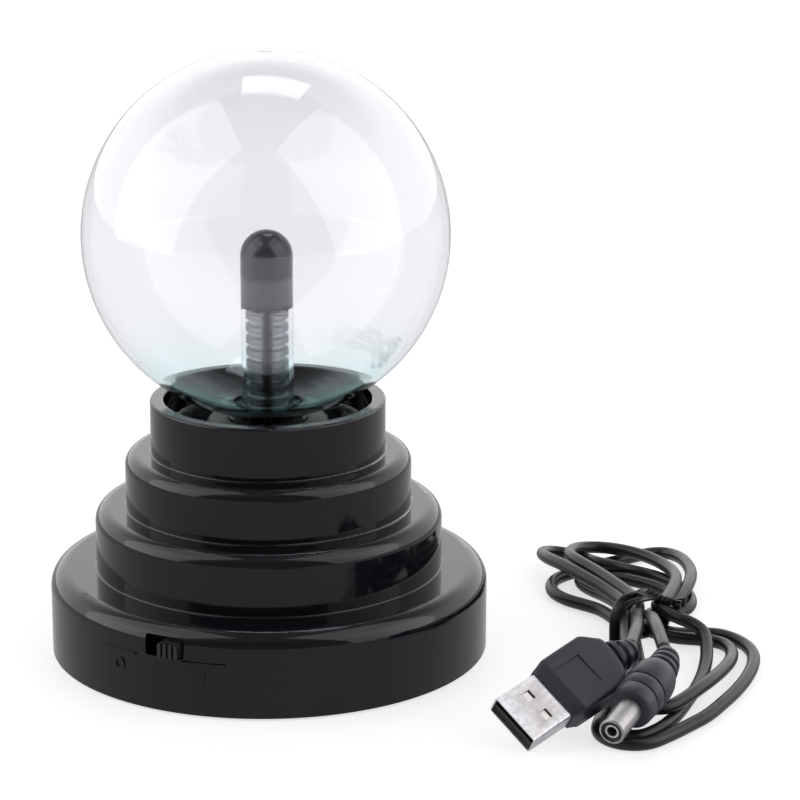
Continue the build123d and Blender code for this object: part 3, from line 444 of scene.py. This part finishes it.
def makeFinish(name, spec):
    made = bpy.data.materials.new(name)
    made.use_nodes = True
    tree = made.node_tree
    shader = tree.nodes["Principled BSDF"]
    surface = addNode(tree, "ShaderNodeGroup", node_tree=mouldedGroup)
    for socket, value in (
        ("Color", opaque(*spec["colour"])), ("Second Color", opaque(*spec["second"])),
        ("Patch Scale", spec["patch"]), ("Grain Scale", spec["grain"]), ("Roughness", spec["rough"]),
        ("Spread", spec["spread"]), ("Marks", spec["marks"]),
    ):
        surface.inputs[socket].default_value = value
    wire(tree, surface, "Roughness", shader, "Roughness")
    if "edge" in spec:
        worn = addNode(tree, "ShaderNodeGroup", node_tree=wornGroup)
        worn.inputs["Edge Color"].default_value = opaque(*spec["edge"])
        worn.inputs["Amount"].default_value = shared["edgeWear"]
        wire(tree, surface, "Color", worn, "Color")
        wire(tree, worn, "Color", shader, "Base Color")
    else:
        wire(tree, surface, "Color", shader, "Base Color")
    bump = addNode(tree, "ShaderNodeBump", {"Strength": spec["bump"], "Distance": spec["depth"]})
    wire(tree, surface, "Height", bump, "Height")
    wire(tree, bump, "Normal", shader, "Normal")
    shader.inputs["Metallic"].default_value = spec.get("metal", 0.0)
    shader.inputs["IOR"].default_value = spec.get("ior", shared["ior"])
    shader.inputs["Coat Weight"].default_value = spec.get("coat", 0.0)
    shader.inputs["Coat Roughness"].default_value = shared["coatRough"]
    return made


materials = {name: makeFinish(name, spec) for name, spec in finishes.items()}

# the clear parts: tint at the top and at the bottom, and the heights between which one turns into the other.
# The stem's coating is opaque, and only shares the way that its colour changes with height
clearParts = {
    "clear_glass": {"top": (0.905, 0.905, 0.925), "bottom": (0.92, 0.94, 0.94), "rim": (0.3, 0.88, 0.84),
                    "heights": (0.052, 0.076), "rough": 0.0, "ior": 1.45},
    "smoky_coating": {"top": (0.062, 0.060, 0.072), "bottom": (0.25, 0.25, 0.258), "heights": (0.0830, 0.0850),
                      "rough": 0.22, "ior": 1.45, "clear": 0.0},
    "grey_silicone": {"top": (0.52, 0.53, 0.55), "bottom": (0.44, 0.45, 0.47), "heights": (0.054, 0.076),
                      "rough": 0.3, "ior": 1.41},
}


handled = {"waves": 35.0, "bump": 0.05, "depth": 0.0004, "smudge": 0.02, "rimBlend": 0.38}


def makeClear(name, spec):
    made = bpy.data.materials.new(name)
    made.use_nodes = True
    tree = made.node_tree
    shader = tree.nodes["Principled BSDF"]
    shader.inputs["Transmission Weight"].default_value = spec.get("clear", 1.0)
    shader.inputs["IOR"].default_value = spec["ior"]
    place = addNode(tree, "ShaderNodeTexCoord")
    split = addNode(tree, "ShaderNodeSeparateXYZ")
    low, high = spec["heights"]
    height = addNode(tree, "ShaderNodeMapRange", {"From Min": low, "From Max": high},
                     interpolation_type="SMOOTHSTEP")
    colour = addNode(tree, "ShaderNodeMix", data_type="RGBA")
    colour.inputs[6].default_value = opaque(*spec["bottom"])
    colour.inputs[7].default_value = opaque(*spec["top"])
    wire(tree, place, "Object", split, "Vector")
    wire(tree, split, "Z", height, "Value")
    wire(tree, height, "Result", colour, 0)
    if "rim" in spec:
        # the lower wall of the globe is greener where it is seen edge on
        edgeOn = addNode(tree, "ShaderNodeLayerWeight", {"Blend": handled["rimBlend"]})
        below = addNode(tree, "ShaderNodeMath", {0: 1.0}, operation="SUBTRACT")
        share = addNode(tree, "ShaderNodeMath", operation="MULTIPLY", use_clamp=True)
        rim = addNode(tree, "ShaderNodeMix", data_type="RGBA")
        rim.inputs[7].default_value = opaque(*spec["rim"])
        wire(tree, height, "Result", below, 1)
        wire(tree, below, "Value", share, 0)
        wire(tree, edgeOn, "Facing", share, 1)
        wire(tree, share, "Value", rim, 0)
        wire(tree, colour, 2, rim, 6)
        colour = rim
    wire(tree, colour, 2, shader, "Base Color")
    # faint waves of blown glass and cast silicone
    waves = addNode(tree, "ShaderNodeTexNoise", {"Scale": handled["waves"], "Detail": 2.0})
    wire(tree, place, "Object", waves, "Vector")
    bump = addNode(tree, "ShaderNodeBump", {"Strength": handled["bump"], "Distance": handled["depth"]})
    wire(tree, waves, "Fac", bump, "Height")
    wire(tree, bump, "Normal", shader, "Normal")
    smudge = addNode(tree, "ShaderNodeMapRange", {
        "From Min": 0.35, "From Max": 0.75,
        "To Min": spec["rough"], "To Max": spec["rough"] + handled["smudge"],
    })
    wire(tree, waves, "Fac", smudge, "Value")
    wire(tree, smudge, "Result", shader, "Roughness")
    return made


materials.update({name: makeClear(name, spec) for name, spec in clearParts.items()})
for node in nodes.values():
    for place in node.material_slots:
        place.material = materials[place.material.name.split(".")[0]]
# dull black where light would otherwise show what lies deep inside
for name in ("high_voltage_lead", "switch_base", "globe_seal"):
    nodes[name].material_slots[0].material = materials["matte_black"]
nodes["dc_contact"].material_slots[0].material = materials["plug_metal"]
powerLead.data.materials.append(materials["cord_black"])
print("finishes made", len(materials))


def addPiece(name, verts, faces, finish, body, smooth=True):
    mesh = bpy.data.meshes.new(name)
    mesh.from_pydata([tuple(v) for v in verts], [], faces)
    shape = bmesh.new()
    shape.from_mesh(mesh)
    bmesh.ops.recalc_face_normals(shape, faces=shape.faces)
    shape.to_mesh(mesh)
    shape.free()
    for face in mesh.polygons:
        face.use_smooth = smooth
    mesh.materials.append(materials[finish])
    made = bpy.data.objects.new(name, mesh)
    scene.collection.objects.link(made)
    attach(made, body)
    return made


def sweptStrip(path, acrossAt, section, closed):
    # rings of a section carried along a path: acrossAt gives the section's two axes at each step
    verts, faces = [], []
    count, around = len(path), len(section)
    for step, centre in enumerate(path):
        side, over = acrossAt(step)
        verts += [centre + side * a + over * b for a, b in section]
    for step in range(count if closed else count - 1):
        after = (step + 1) % count
        for k in range(around):
            m = (k + 1) % around
            faces.append((step * around + k, step * around + m, after * around + m, after * around + k))
    if not closed:
        faces.append(tuple(range(around - 1, -1, -1)))
        faces.append(tuple((count - 1) * around + k for k in range(around)))
    return verts, faces


# twist tie: a flat plastic strip with a wire down its middle, round the waist of the hank and twisted shut
tie = {
    "centre": (0.0836, -0.0012, 0.0051),
    "half": (0.0062, 0.0045),     # half width and half height of the loop
    "skew": 28,                   # the loop crosses the bundle at a slant
    "corner": 3.0,                # how square the loop is
    "width": 0.0040,
    "thickness": 0.0005,
    "wire": 0.00045,
    "loopSteps": 72,
    "waver": 0.0003,              # the loop isn't quite flat
    "knot": (0.0852, 0.0006, 0.0100),
    "tail": (0.0925, -0.0042, 0.0090),
    "tailSteps": 60,
    "turns": 3.0,
    "twisted": 0.75,              # share of the tail that is twisted, before its two ends part
    "apart": (0.00035, 0.0009),   # how far the ends are from the tail's line, and how much further they part
    "sag": 0.0008,
    "thin": 0.55,                 # the twisted ends are narrower than the loop
    "flap": [
        (0.0856, 0.0010, 0.0101), (0.0820, -0.0012, 0.0104), (0.0788, -0.0030, 0.0096),
        (0.0772, -0.0048, 0.0070), (0.0769, -0.0060, 0.0040), (0.0769, -0.0068, 0.0012),
    ],
    "flapSteps": 8,               # steps between two points of the flap
    "flapThin": 0.62,
    "flapTurn": (0.8, 1.6),       # starts flat on the loop, then turns to face the front
}


def squared(value, corner):
    # a sine or cosine that makes an oval squarer as corner grows
    return abs(value) ** (2 / corner) * (1 if value >= 0 else -1)


def stripSection(spec):
    # flat, with the wire's bead along the middle of its outer face
    w, t, r = spec["width"] / 2, spec["thickness"] / 2, spec["wire"]
    bead = [(r, t), (r * 0.6, r * 0.9), (0, r * 1.1), (-r * 0.6, r * 0.9), (-r, t)]
    return [(-w, -t), (w, -t), (w, t), *bead, (-w, t)]


def addTie(spec):
    centre = Vector(spec["centre"])
    a, b = spec["half"]
    skew = radians(spec["skew"])
    across = Vector((cos(skew), sin(skew), 0))
    forward = Vector((-sin(skew), cos(skew), 0))
    steps = spec["loopSteps"]
    loop = []
    for k in range(steps):
        turn = 2 * pi * k / steps
        x = a * squared(cos(turn), spec["corner"])
        z = b * squared(sin(turn), spec["corner"])
        loop.append(centre + across * x + Vector((0, spec["waver"] * sin(3 * turn), z)))

    def loopAxes(step):
        along = (loop[(step + 1) % steps] - loop[step - 1]).normalized()
        return forward, along.cross(forward).normalized() * -1

    section = stripSection(spec)
    verts, faces = sweptStrip(loop, loopAxes, section, True)

    def join(more, moreFaces):
        faces.extend(tuple(i + len(verts) for i in face) for face in moreFaces)
        verts.extend(more)

    # both ends are twisted round each other, then part
    start, end = Vector(spec["knot"]), Vector(spec["tail"])
    along = (end - start).normalized()
    side = along.cross(Vector((0, 0, 1))).normalized()
    over = side.cross(along)
    twisted, (near, far) = spec["twisted"], spec["apart"]
    for phase in (0, pi):
        path, axes = [], []
        for k in range(spec["tailSteps"] + 1):
            t = k / spec["tailSteps"]
            turn = phase + 2 * pi * spec["turns"] * min(t / twisted, 1.0)
            reach = near + far * max(0.0, (t - twisted) / (1 - twisted))
            out = side * cos(turn) + over * sin(turn)
            sag = Vector((0, 0, -spec["sag"] * sin(pi * t)))
            path.append(start.lerp(end, t) + out * reach + sag)
            axes.append((along.cross(out).normalized() * spec["thin"], out * spec["thin"]))
        join(*sweptStrip(path, lambda step: axes[step], section, False))

    # the flat end folds over the bundle and hangs down in front
    flap = routeLine(spec["flap"], spec["flapSteps"])
    flat, falling = spec["flapTurn"]

    def flapAxes(step):
        along = (flap[min(step + 1, len(flap) - 1)] - flap[max(step - 1, 0)]).normalized()
        side = (across - along * across.dot(along)).normalized()
        side = side.lerp(forward, max(0.0, flat - step / len(flap) * falling))
        side = (side - along * side.dot(along)).normalized()
        return side * spec["flapThin"], along.cross(side).normalized() * -1

    join(*sweptStrip(flap, flapAxes, section, False))
    made = addPiece("twistTie", verts, faces, "tie_plastic", "power_lead", smooth=False)
    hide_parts("lead_tie")


# moulded grip of the round plug: distance from its front face and radius, down to the ribbed relief
roundGrip = {
    "tip": (0.06845, -0.0740, 0.00675),
    "back": (0.484, 0.859, 0.164),
    "barrel": 0.0096,
    "cordStart": (0.0832, -0.0435, 0.0123),
    "cordWay": (0.03, 1.0, 0.0),
    "straight": 0.0145,     # length before it bends towards the cord
    "bendSteps": 24,
    "around": 64,
    "crease": 38,           # degrees above which an edge stays sharp
    "profile": [
        (0.0, 2.58), (0.0, 3.9), (0.12, 4.3), (0.5, 4.55), (1.2, 4.66), (3.4, 4.8), (3.52, 4.72), (3.58, 4.5),
        (3.86, 4.5), (3.94, 4.76), (4.06, 4.86), (6.85, 4.95), (6.98, 4.88), (7.04, 4.62), (7.34, 4.62),
        (7.42, 4.9), (7.56, 5.0), (9.5, 5.05), (11.5, 5.0), (13.2, 4.75), (14.6, 4.35), (15.4, 3.95),
        (15.8, 3.5), (15.95, 2.9), (16.5, 2.85), (16.65, 3.45), (16.9, 3.62), (17.7, 3.55), (17.95, 3.35),
        (18.05, 2.7),
        (18.6, 2.65), (18.75, 3.15), (19.0, 3.32), (19.8, 3.22), (20.05, 3.05), (20.15, 2.45), (20.7, 2.4),
        (20.85, 2.8), (21.1, 2.95), (21.9, 2.8), (22.1, 2.6), (22.25, 2.1), (22.9, 2.05), (24.4, 1.9),
        (24.6, 1.5),
    ],
}


def bentPath(start, way, spec):
    # straight at first, then one smooth bend into the cord's own direction
    end = Vector(spec["cordStart"])
    way, endWay = way.normalized(), Vector(spec["cordWay"]).normalized()
    steps = spec["bendSteps"]
    turnAt = start + way * spec["straight"]
    reach = (end - turnAt).length * 0.45     # how gently it bends
    a, b, c, d = turnAt, turnAt + way * reach, end - endWay * reach, end
    path = [start.lerp(turnAt, k / steps) for k in range(steps)]
    for k in range(steps + 1):
        t = k / steps
        path.append(a * (1 - t) ** 3 + b * 3 * t * (1 - t) ** 2 + c * 3 * t * t * (1 - t) + d * t ** 3)
    return path


def alongPath(path, distance):
    # the point at that distance along the path, and the way that it runs there
    left = distance
    for one, two in zip(path, path[1:]):
        span = (two - one).length
        if left <= span or two is path[-1]:
            return one + (two - one) * (left / span), (two - one).normalized()
        left -= span


def addRoundGrip(spec):
    back = Vector(spec["back"]).normalized()
    start = Vector(spec["tip"]) + back * spec["barrel"]
    path = bentPath(start, back, spec)
    verts = []
    around = spec["around"]
    for distance, radius in spec["profile"]:
        centre, way = alongPath(path, distance / 1000)
        side = way.cross(Vector((0, 0, 1))).normalized()
        over = side.cross(way)
        for k in range(around):
            turn = 2 * pi * k / around
            verts.append(centre + (side * cos(turn) + over * sin(turn)) * (radius / 1000))
    rings = len(spec["profile"])
    faces = tubeWalls(rings, around)
    faces.append(tuple(range(around)))
    faces.append(tuple((rings - 1) * around + k for k in range(around)))
    made = addPiece("roundPlugGrip", verts, faces, "plug_vinyl", "power_lead")
    made.data.set_sharp_from_angle(angle=radians(spec["crease"]))
    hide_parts("dc_grip")


addRoundGrip(roundGrip)

# moulded body of the USB plug: distance back from the front, half width, half thickness, how square
usbGrip = {
    "front": (0.0491, -0.0661, 0.0054),
    "back": (0.748, 0.618, 0.242),
    "across": (-0.623, 0.528, 0.576),
    "shell": 0.011,
    "cordStart": (0.0758, -0.0428, 0.0129),
    "cordWay": (0.20, 0.97, 0.0),
    "straight": 0.0165,
    "bendSteps": 24,
    "around": 96,
    "crease": 38,
    "stations": [
        (0.0, 6.0, 2.4, 9), (0.02, 6.3, 2.75, 9), (0.25, 6.5, 2.95, 9), (2.2, 6.95, 3.75, 9),
        (2.5, 7.1, 3.9, 9), (2.9, 7.18, 3.98, 10), (3.4, 7.2, 4.0, 10), (7.0, 7.25, 4.0, 10),
        (13.6, 7.25, 4.0, 10),
        (14.2, 7.1, 3.95, 9), (15.2, 6.5, 3.85, 8), (16.6, 5.5, 3.7, 6), (17.5, 4.9, 3.55, 5),
        (17.9, 4.6, 3.35, 4), (18.15, 3.3, 2.8, 2.5), (18.7, 3.2, 2.75, 2.2), (18.85, 3.75, 3.25, 2.2),
        (19.1, 3.9, 3.4, 2.1), (19.9, 3.75, 3.35, 2.1), (20.15, 3.5, 3.15, 2), (20.25, 2.8, 2.6, 2),
        (20.8, 2.75, 2.55, 2), (20.95, 3.2, 3.05, 2), (21.2, 3.35, 3.2, 2), (22.0, 3.15, 3.1, 2),
        (22.2, 2.95, 2.9, 2), (22.3, 2.35, 2.35, 2), (22.8, 2.3, 2.3, 2), (22.95, 2.65, 2.65, 2),
        (23.2, 2.8, 2.8, 2), (23.9, 2.6, 2.6, 2), (24.1, 2.4, 2.4, 2), (24.2, 1.95, 1.95, 2),
        (25.2, 1.85, 1.85, 2), (25.4, 1.5, 1.5, 2),
    ],
    "panel": (17.7, 3.7, 3.7, 0.34),     # distance back, half sizes, greatest depth of the sloping recess
    "panelRise": (4.02, 4.6),            # where the cutter's floor starts and where it ends above the face
    # springs: distance back, off the middle, half length, half width, both faces, bend of the front end
    "springs": (6.4, 2.6, 1.6, 1.5, (1.35, 1.75), 0.15),
}
# corners of a square, and the faces of a box with two such squares for its floor and its roof
squareCorners = ((-1, -1), (1, -1), (1, 1), (-1, 1))
boxSides = ((0, 1, 5, 4), (1, 2, 6, 5), (2, 3, 7, 6), (3, 0, 4, 7))


def addUsbGrip(spec):
    back = Vector(spec["back"]).normalized()
    front = Vector(spec["front"])
    across = Vector(spec["across"])
    across = (across - back * across.dot(back)).normalized()
    over = back.cross(across)
    path = bentPath(front + back * spec["shell"], back, spec)
    verts = []
    around = spec["around"]
    for distance, wide, thick, square in spec["stations"]:
        centre, way = alongPath(path, distance / 1000)
        side = (across - way * across.dot(way)).normalized()
        up = way.cross(side)
        for k in range(around):
            turn = 2 * pi * (k + 0.5) / around
            x, y = squared(cos(turn), square), squared(sin(turn), square)
            verts.append(centre + side * (x * wide / 1000) + up * (y * thick / 1000))
    rings = len(spec["stations"])
    faces = tubeWalls(rings, around)
    faces.append(tuple(range(around)))
    faces.append(tuple((rings - 1) * around + k for k in range(around)))
    made = addPiece("usbPlugGrip", verts, faces, "plug_vinyl", "power_lead")

    # a square recess in both broad faces, flush at one corner and deepest at the opposite one
    distance, halfAcross, halfAlong, deep = (v / 1000 for v in spec["panel"])
    low, high = (v / 1000 for v in spec["panelRise"])
    cutVerts, cutFaces = [], []
    for face in (1, -1):
        base = len(cutVerts)
        for top in (False, True):
            for a, b in squareCorners:
                rise = high if top else low - deep * (a + b + 2) / 4
                cutVerts.append(front + back * (distance + b * halfAlong) + across * (a * halfAcross)
                                + over * (rise * face))
        cutFaces += [
            tuple(base + n for n in corners) for corners in ((0, 1, 2), (0, 2, 3), (4, 5, 6, 7), *boxSides)
        ]
    cutter = addPiece("grooveCutter", cutVerts, cutFaces, "plug_vinyl", "power_lead", smooth=False)
    cut = made.modifiers.new("groove", "BOOLEAN")
    cut.object = cutter
    cut.solver = "EXACT"
    graph = bpy.context.evaluated_depsgraph_get()
    shaped = bpy.data.meshes.new_from_object(made.evaluated_get(graph))
    made.modifiers.clear()
    made.data = shaped
    bpy.data.objects.remove(cutter)
    made.data.set_sharp_from_angle(angle=radians(spec["crease"]))
    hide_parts("usb_body")

    # bright springs seen through the windows of the shell
    distance, aside, halfLong, halfWide, rises, bend = spec["springs"]
    springs, springFaces = [], []
    for face in (1, -1):
        for side in (-1, 1):
            base = len(springs)
            for rise in rises:
                for a, b in squareCorners:
                    springs.append(
                        front + back * ((distance + b * halfLong) / 1000)
                        + across * ((side * aside + a * halfWide) / 1000)
                        + over * ((rise + (bend if b < 0 else 0)) * face / 1000)
                    )
            springFaces += [
                tuple(base + n for n in corners) for corners in ((0, 1, 2, 3), (4, 5, 6, 7), *boxSides)
            ]
    leaf = addPiece("usbShellSprings", springs, springFaces, "contact_nickel", "power_lead", smooth=False)


addUsbGrip(usbGrip)
print("plugs moulded")

addTie(tie)
print("lead tied")

# dark film inside the stem's dome: its lower edge is uneven, as brushed on
film = {
    "outer": 0.00488,       # just into the glass, so that the stem magnifies it to its own width
    "inner": 0.0047,
    "edge": 0.0774,
    "straight": 0.0012,     # height above the edge at which the unevenness has gone
    "domeFoot": 0.08875,
    "domeSteps": 12,
    "domeEnd": 87,          # degrees up the dome at which the last ring lies
    "around": 96,
    "ragged": 0.00045,
    "ripples": ((5, 0.6, 0.5), (13, 0.0, 0.3), (29, 2.0, 0.35)),    # how many, where they start, how strong
}


def addFilm(spec):
    around = spec["around"]
    low = []
    for k in range(around):
        turn = 2 * pi * k / around
        low.append(spec["ragged"] * sum(sin(n * turn + start) * share for n, start, share in spec["ripples"]))
    verts, faces = [], []

    def ring(radius, height, ragged):
        first = len(verts)
        for k in range(around):
            turn = 2 * pi * k / around
            verts.append((radius * cos(turn), radius * sin(turn), height + (low[k] if ragged else 0)))
        return first

    def join(one, two):
        for k in range(around):
            m = (k + 1) % around
            faces.append((one + k, one + m, two + m, two + k))

    rings = []
    for radius in (spec["outer"], spec["inner"]):
        chain = [ring(radius, spec["edge"], True), ring(radius, spec["edge"] + spec["straight"], False)]
        for step in range(spec["domeSteps"] + 1):
            bend = radians(spec["domeEnd"]) * step / spec["domeSteps"]
            chain.append(ring(radius * cos(bend), spec["domeFoot"] + radius * sin(bend), False))
        tip = len(verts)
        verts.append((0, 0, spec["domeFoot"] + radius))
        for k in range(around):
            faces.append((chain[-1] + k, chain[-1] + (k + 1) % around, tip))
        for one, two in zip(chain, chain[1:]):
            join(one, two)
        rings.append(chain[0])
    join(rings[0], rings[1])
    made = addPiece("electrodeFilm", verts, faces, "smoky_coating", body_of(nodes["electrode_coating"])[0])
    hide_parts("electrode_coating")


addFilm(film)
print("electrode coated")

# pale floor, and soft lights at both sides and overhead
studio = {
    "floorHalf": 4.0,
    "floorColour": (0.42, 0.42, 0.422),
    "floorTone": 1.03,   # the paler clouds of the floor
    "floorClouds": 3.0,
    "floorRough": 0.6,
    "floorShine": 0.2,
    "front": 0.12,       # how bright the side behind the camera is
    "frontFade": (-0.75, 0.05),
    "over": 0.2,         # and the ceiling
    "overFade": (0.42, 0.85),
    "aim": (0, 0, 0.08),
    "floorGlow": 0.68,   # the floor is lit from below as well, which lifts its soft shadows
    "mirrored": 0.58,    # how bright the floor is in reflections
    "tinge": (0.97, 0.95, 1.0),   # colour of the lamps and of the mirrored floor
    "behind": 0.6,       # how much brighter the far wall is in reflections
}
softboxes = [
    # name, turn from the front and rise above the floor in degrees, distance, size, strength
    ("leftBox", -82, 31, 1.1, (1.15, 2.0), 9.0),
    ("rightBox", 66, 31, 1.1, (1.15, 2.0), 9.0),
    ("topBox", 172, 64, 1.0, (0.42, 0.3), 1.1),
]


def reflectedOnly(tree, ray):
    # 1 for what is seen in a reflection, 0 for what is seen straight or through glass
    mirrored = addNode(tree, "ShaderNodeMath", operation="SUBTRACT", use_clamp=True)
    wire(tree, ray, "Is Glossy Ray", mirrored, 0)
    wire(tree, ray, "Is Transmission Ray", mirrored, 1)
    return mirrored


def addStudio(spec):
    half = spec["floorHalf"]
    mesh = bpy.data.meshes.new("floor")
    mesh.from_pydata([(a * half, b * half, 0) for a, b in squareCorners], [], [(0, 1, 2, 3)])
    floor = bpy.data.objects.new("floor", mesh)
    scene.collection.objects.link(floor)
    made = bpy.data.materials.new("paleFloor")
    made.use_nodes = True
    tree = made.node_tree
    shader = tree.nodes["Principled BSDF"]
    shader.inputs["Roughness"].default_value = spec["floorRough"]
    shader.inputs["Specular IOR Level"].default_value = spec["floorShine"]
    shader.inputs["Emission Color"].default_value = opaque(1.0, 1.0, 1.0)
    shader.inputs["Emission Strength"].default_value = spec["floorGlow"]
    place = addNode(tree, "ShaderNodeTexCoord")
    cloud = addNode(tree, "ShaderNodeTexNoise", {"Scale": spec["floorClouds"]})
    ramp = addNode(tree, "ShaderNodeMix", data_type="RGBA")
    ramp.inputs[6].default_value = opaque(*spec["floorColour"])
    ramp.inputs[7].default_value = opaque(*(c * spec["floorTone"] for c in spec["floorColour"]))
    wire(tree, place, "Object", cloud, "Vector")
    wire(tree, cloud, "Fac", ramp, 0)
    wire(tree, ramp, 2, shader, "Base Color")
    dull = addNode(tree, "ShaderNodeEmission",
                   {"Color": opaque(*spec["tinge"]), "Strength": spec["mirrored"]})
    ray = addNode(tree, "ShaderNodeLightPath")
    either = addNode(tree, "ShaderNodeMixShader")
    mirrored = reflectedOnly(tree, ray)
    wire(tree, mirrored, "Value", either, "Fac")
    tree.links.new(shader.outputs["BSDF"], either.inputs[1])
    tree.links.new(dull.outputs["Emission"], either.inputs[2])
    # from below the floor isn't there, so the underside of the base can be looked at
    side = addNode(tree, "ShaderNodeNewGeometry")
    clear = addNode(tree, "ShaderNodeBsdfTransparent")
    shown = addNode(tree, "ShaderNodeMixShader")
    wire(tree, side, "Backfacing", shown, "Fac")
    tree.links.new(either.outputs["Shader"], shown.inputs[1])
    tree.links.new(clear.outputs["BSDF"], shown.inputs[2])
    tree.links.new(shown.outputs["Shader"], tree.nodes["Material Output"].inputs["Surface"])
    mesh.materials.append(made)

    world = bpy.data.worlds.new("studio")
    scene.world = world
    world.use_nodes = True
    tree = world.node_tree
    sky = tree.nodes["Background"]
    place = addNode(tree, "ShaderNodeTexCoord")
    split = addNode(tree, "ShaderNodeSeparateXYZ")
    fadeStart, fadeEnd = spec["frontFade"]
    dim = addNode(tree, "ShaderNodeMapRange", {
        "From Min": fadeStart, "From Max": fadeEnd, "To Min": spec["front"],
    }, interpolation_type="SMOOTHSTEP")
    fadeStart, fadeEnd = spec["overFade"]
    ceiling = addNode(tree, "ShaderNodeMapRange", {
        "From Min": fadeStart, "From Max": fadeEnd, "To Min": 1.0, "To Max": spec["over"],
    }, interpolation_type="SMOOTHSTEP")
    both = addNode(tree, "ShaderNodeMath", operation="MINIMUM")
    seen = addNode(tree, "ShaderNodeLightPath")
    lift = addNode(tree, "ShaderNodeMath", operation="MAXIMUM")
    wire(tree, place, "Generated", split, "Vector")
    wire(tree, split, "Y", dim, "Value")
    wire(tree, split, "Z", ceiling, "Value")
    wire(tree, dim, "Result", both, 0)
    wire(tree, ceiling, "Result", both, 1)
    wire(tree, both, "Value", lift, 0)
    wire(tree, seen, "Is Camera Ray", lift, 1)
    stronger = addNode(tree, "ShaderNodeMath", {1: spec["behind"], 2: 1.0}, operation="MULTIPLY_ADD")
    mirrored = reflectedOnly(tree, seen)
    wire(tree, mirrored, "Value", stronger, 0)
    wire(tree, lift, "Value", sky, "Color")
    wire(tree, stronger, "Value", sky, "Strength")
    for name, turn, rise, distance, size, strength in softboxes:
        light = bpy.data.lights.new(name, "AREA")
        light.shape = "RECTANGLE"
        light.size, light.size_y = size
        light.energy = strength
        light.color = spec["tinge"]
        made = bpy.data.objects.new(name, light)
        a, e = radians(turn), radians(rise)
        way = Vector((sin(a) * cos(e), -cos(a) * cos(e), sin(e)))
        made.location = Vector(spec["aim"]) + way * distance
        made.rotation_mode = "QUATERNION"
        made.rotation_quaternion = way.to_track_quat("Z", "Y")
        scene.collection.objects.link(made)


addStudio(studio)
print("studio lit")

graph = bpy.context.evaluated_depsgraph_get()
graph.update()
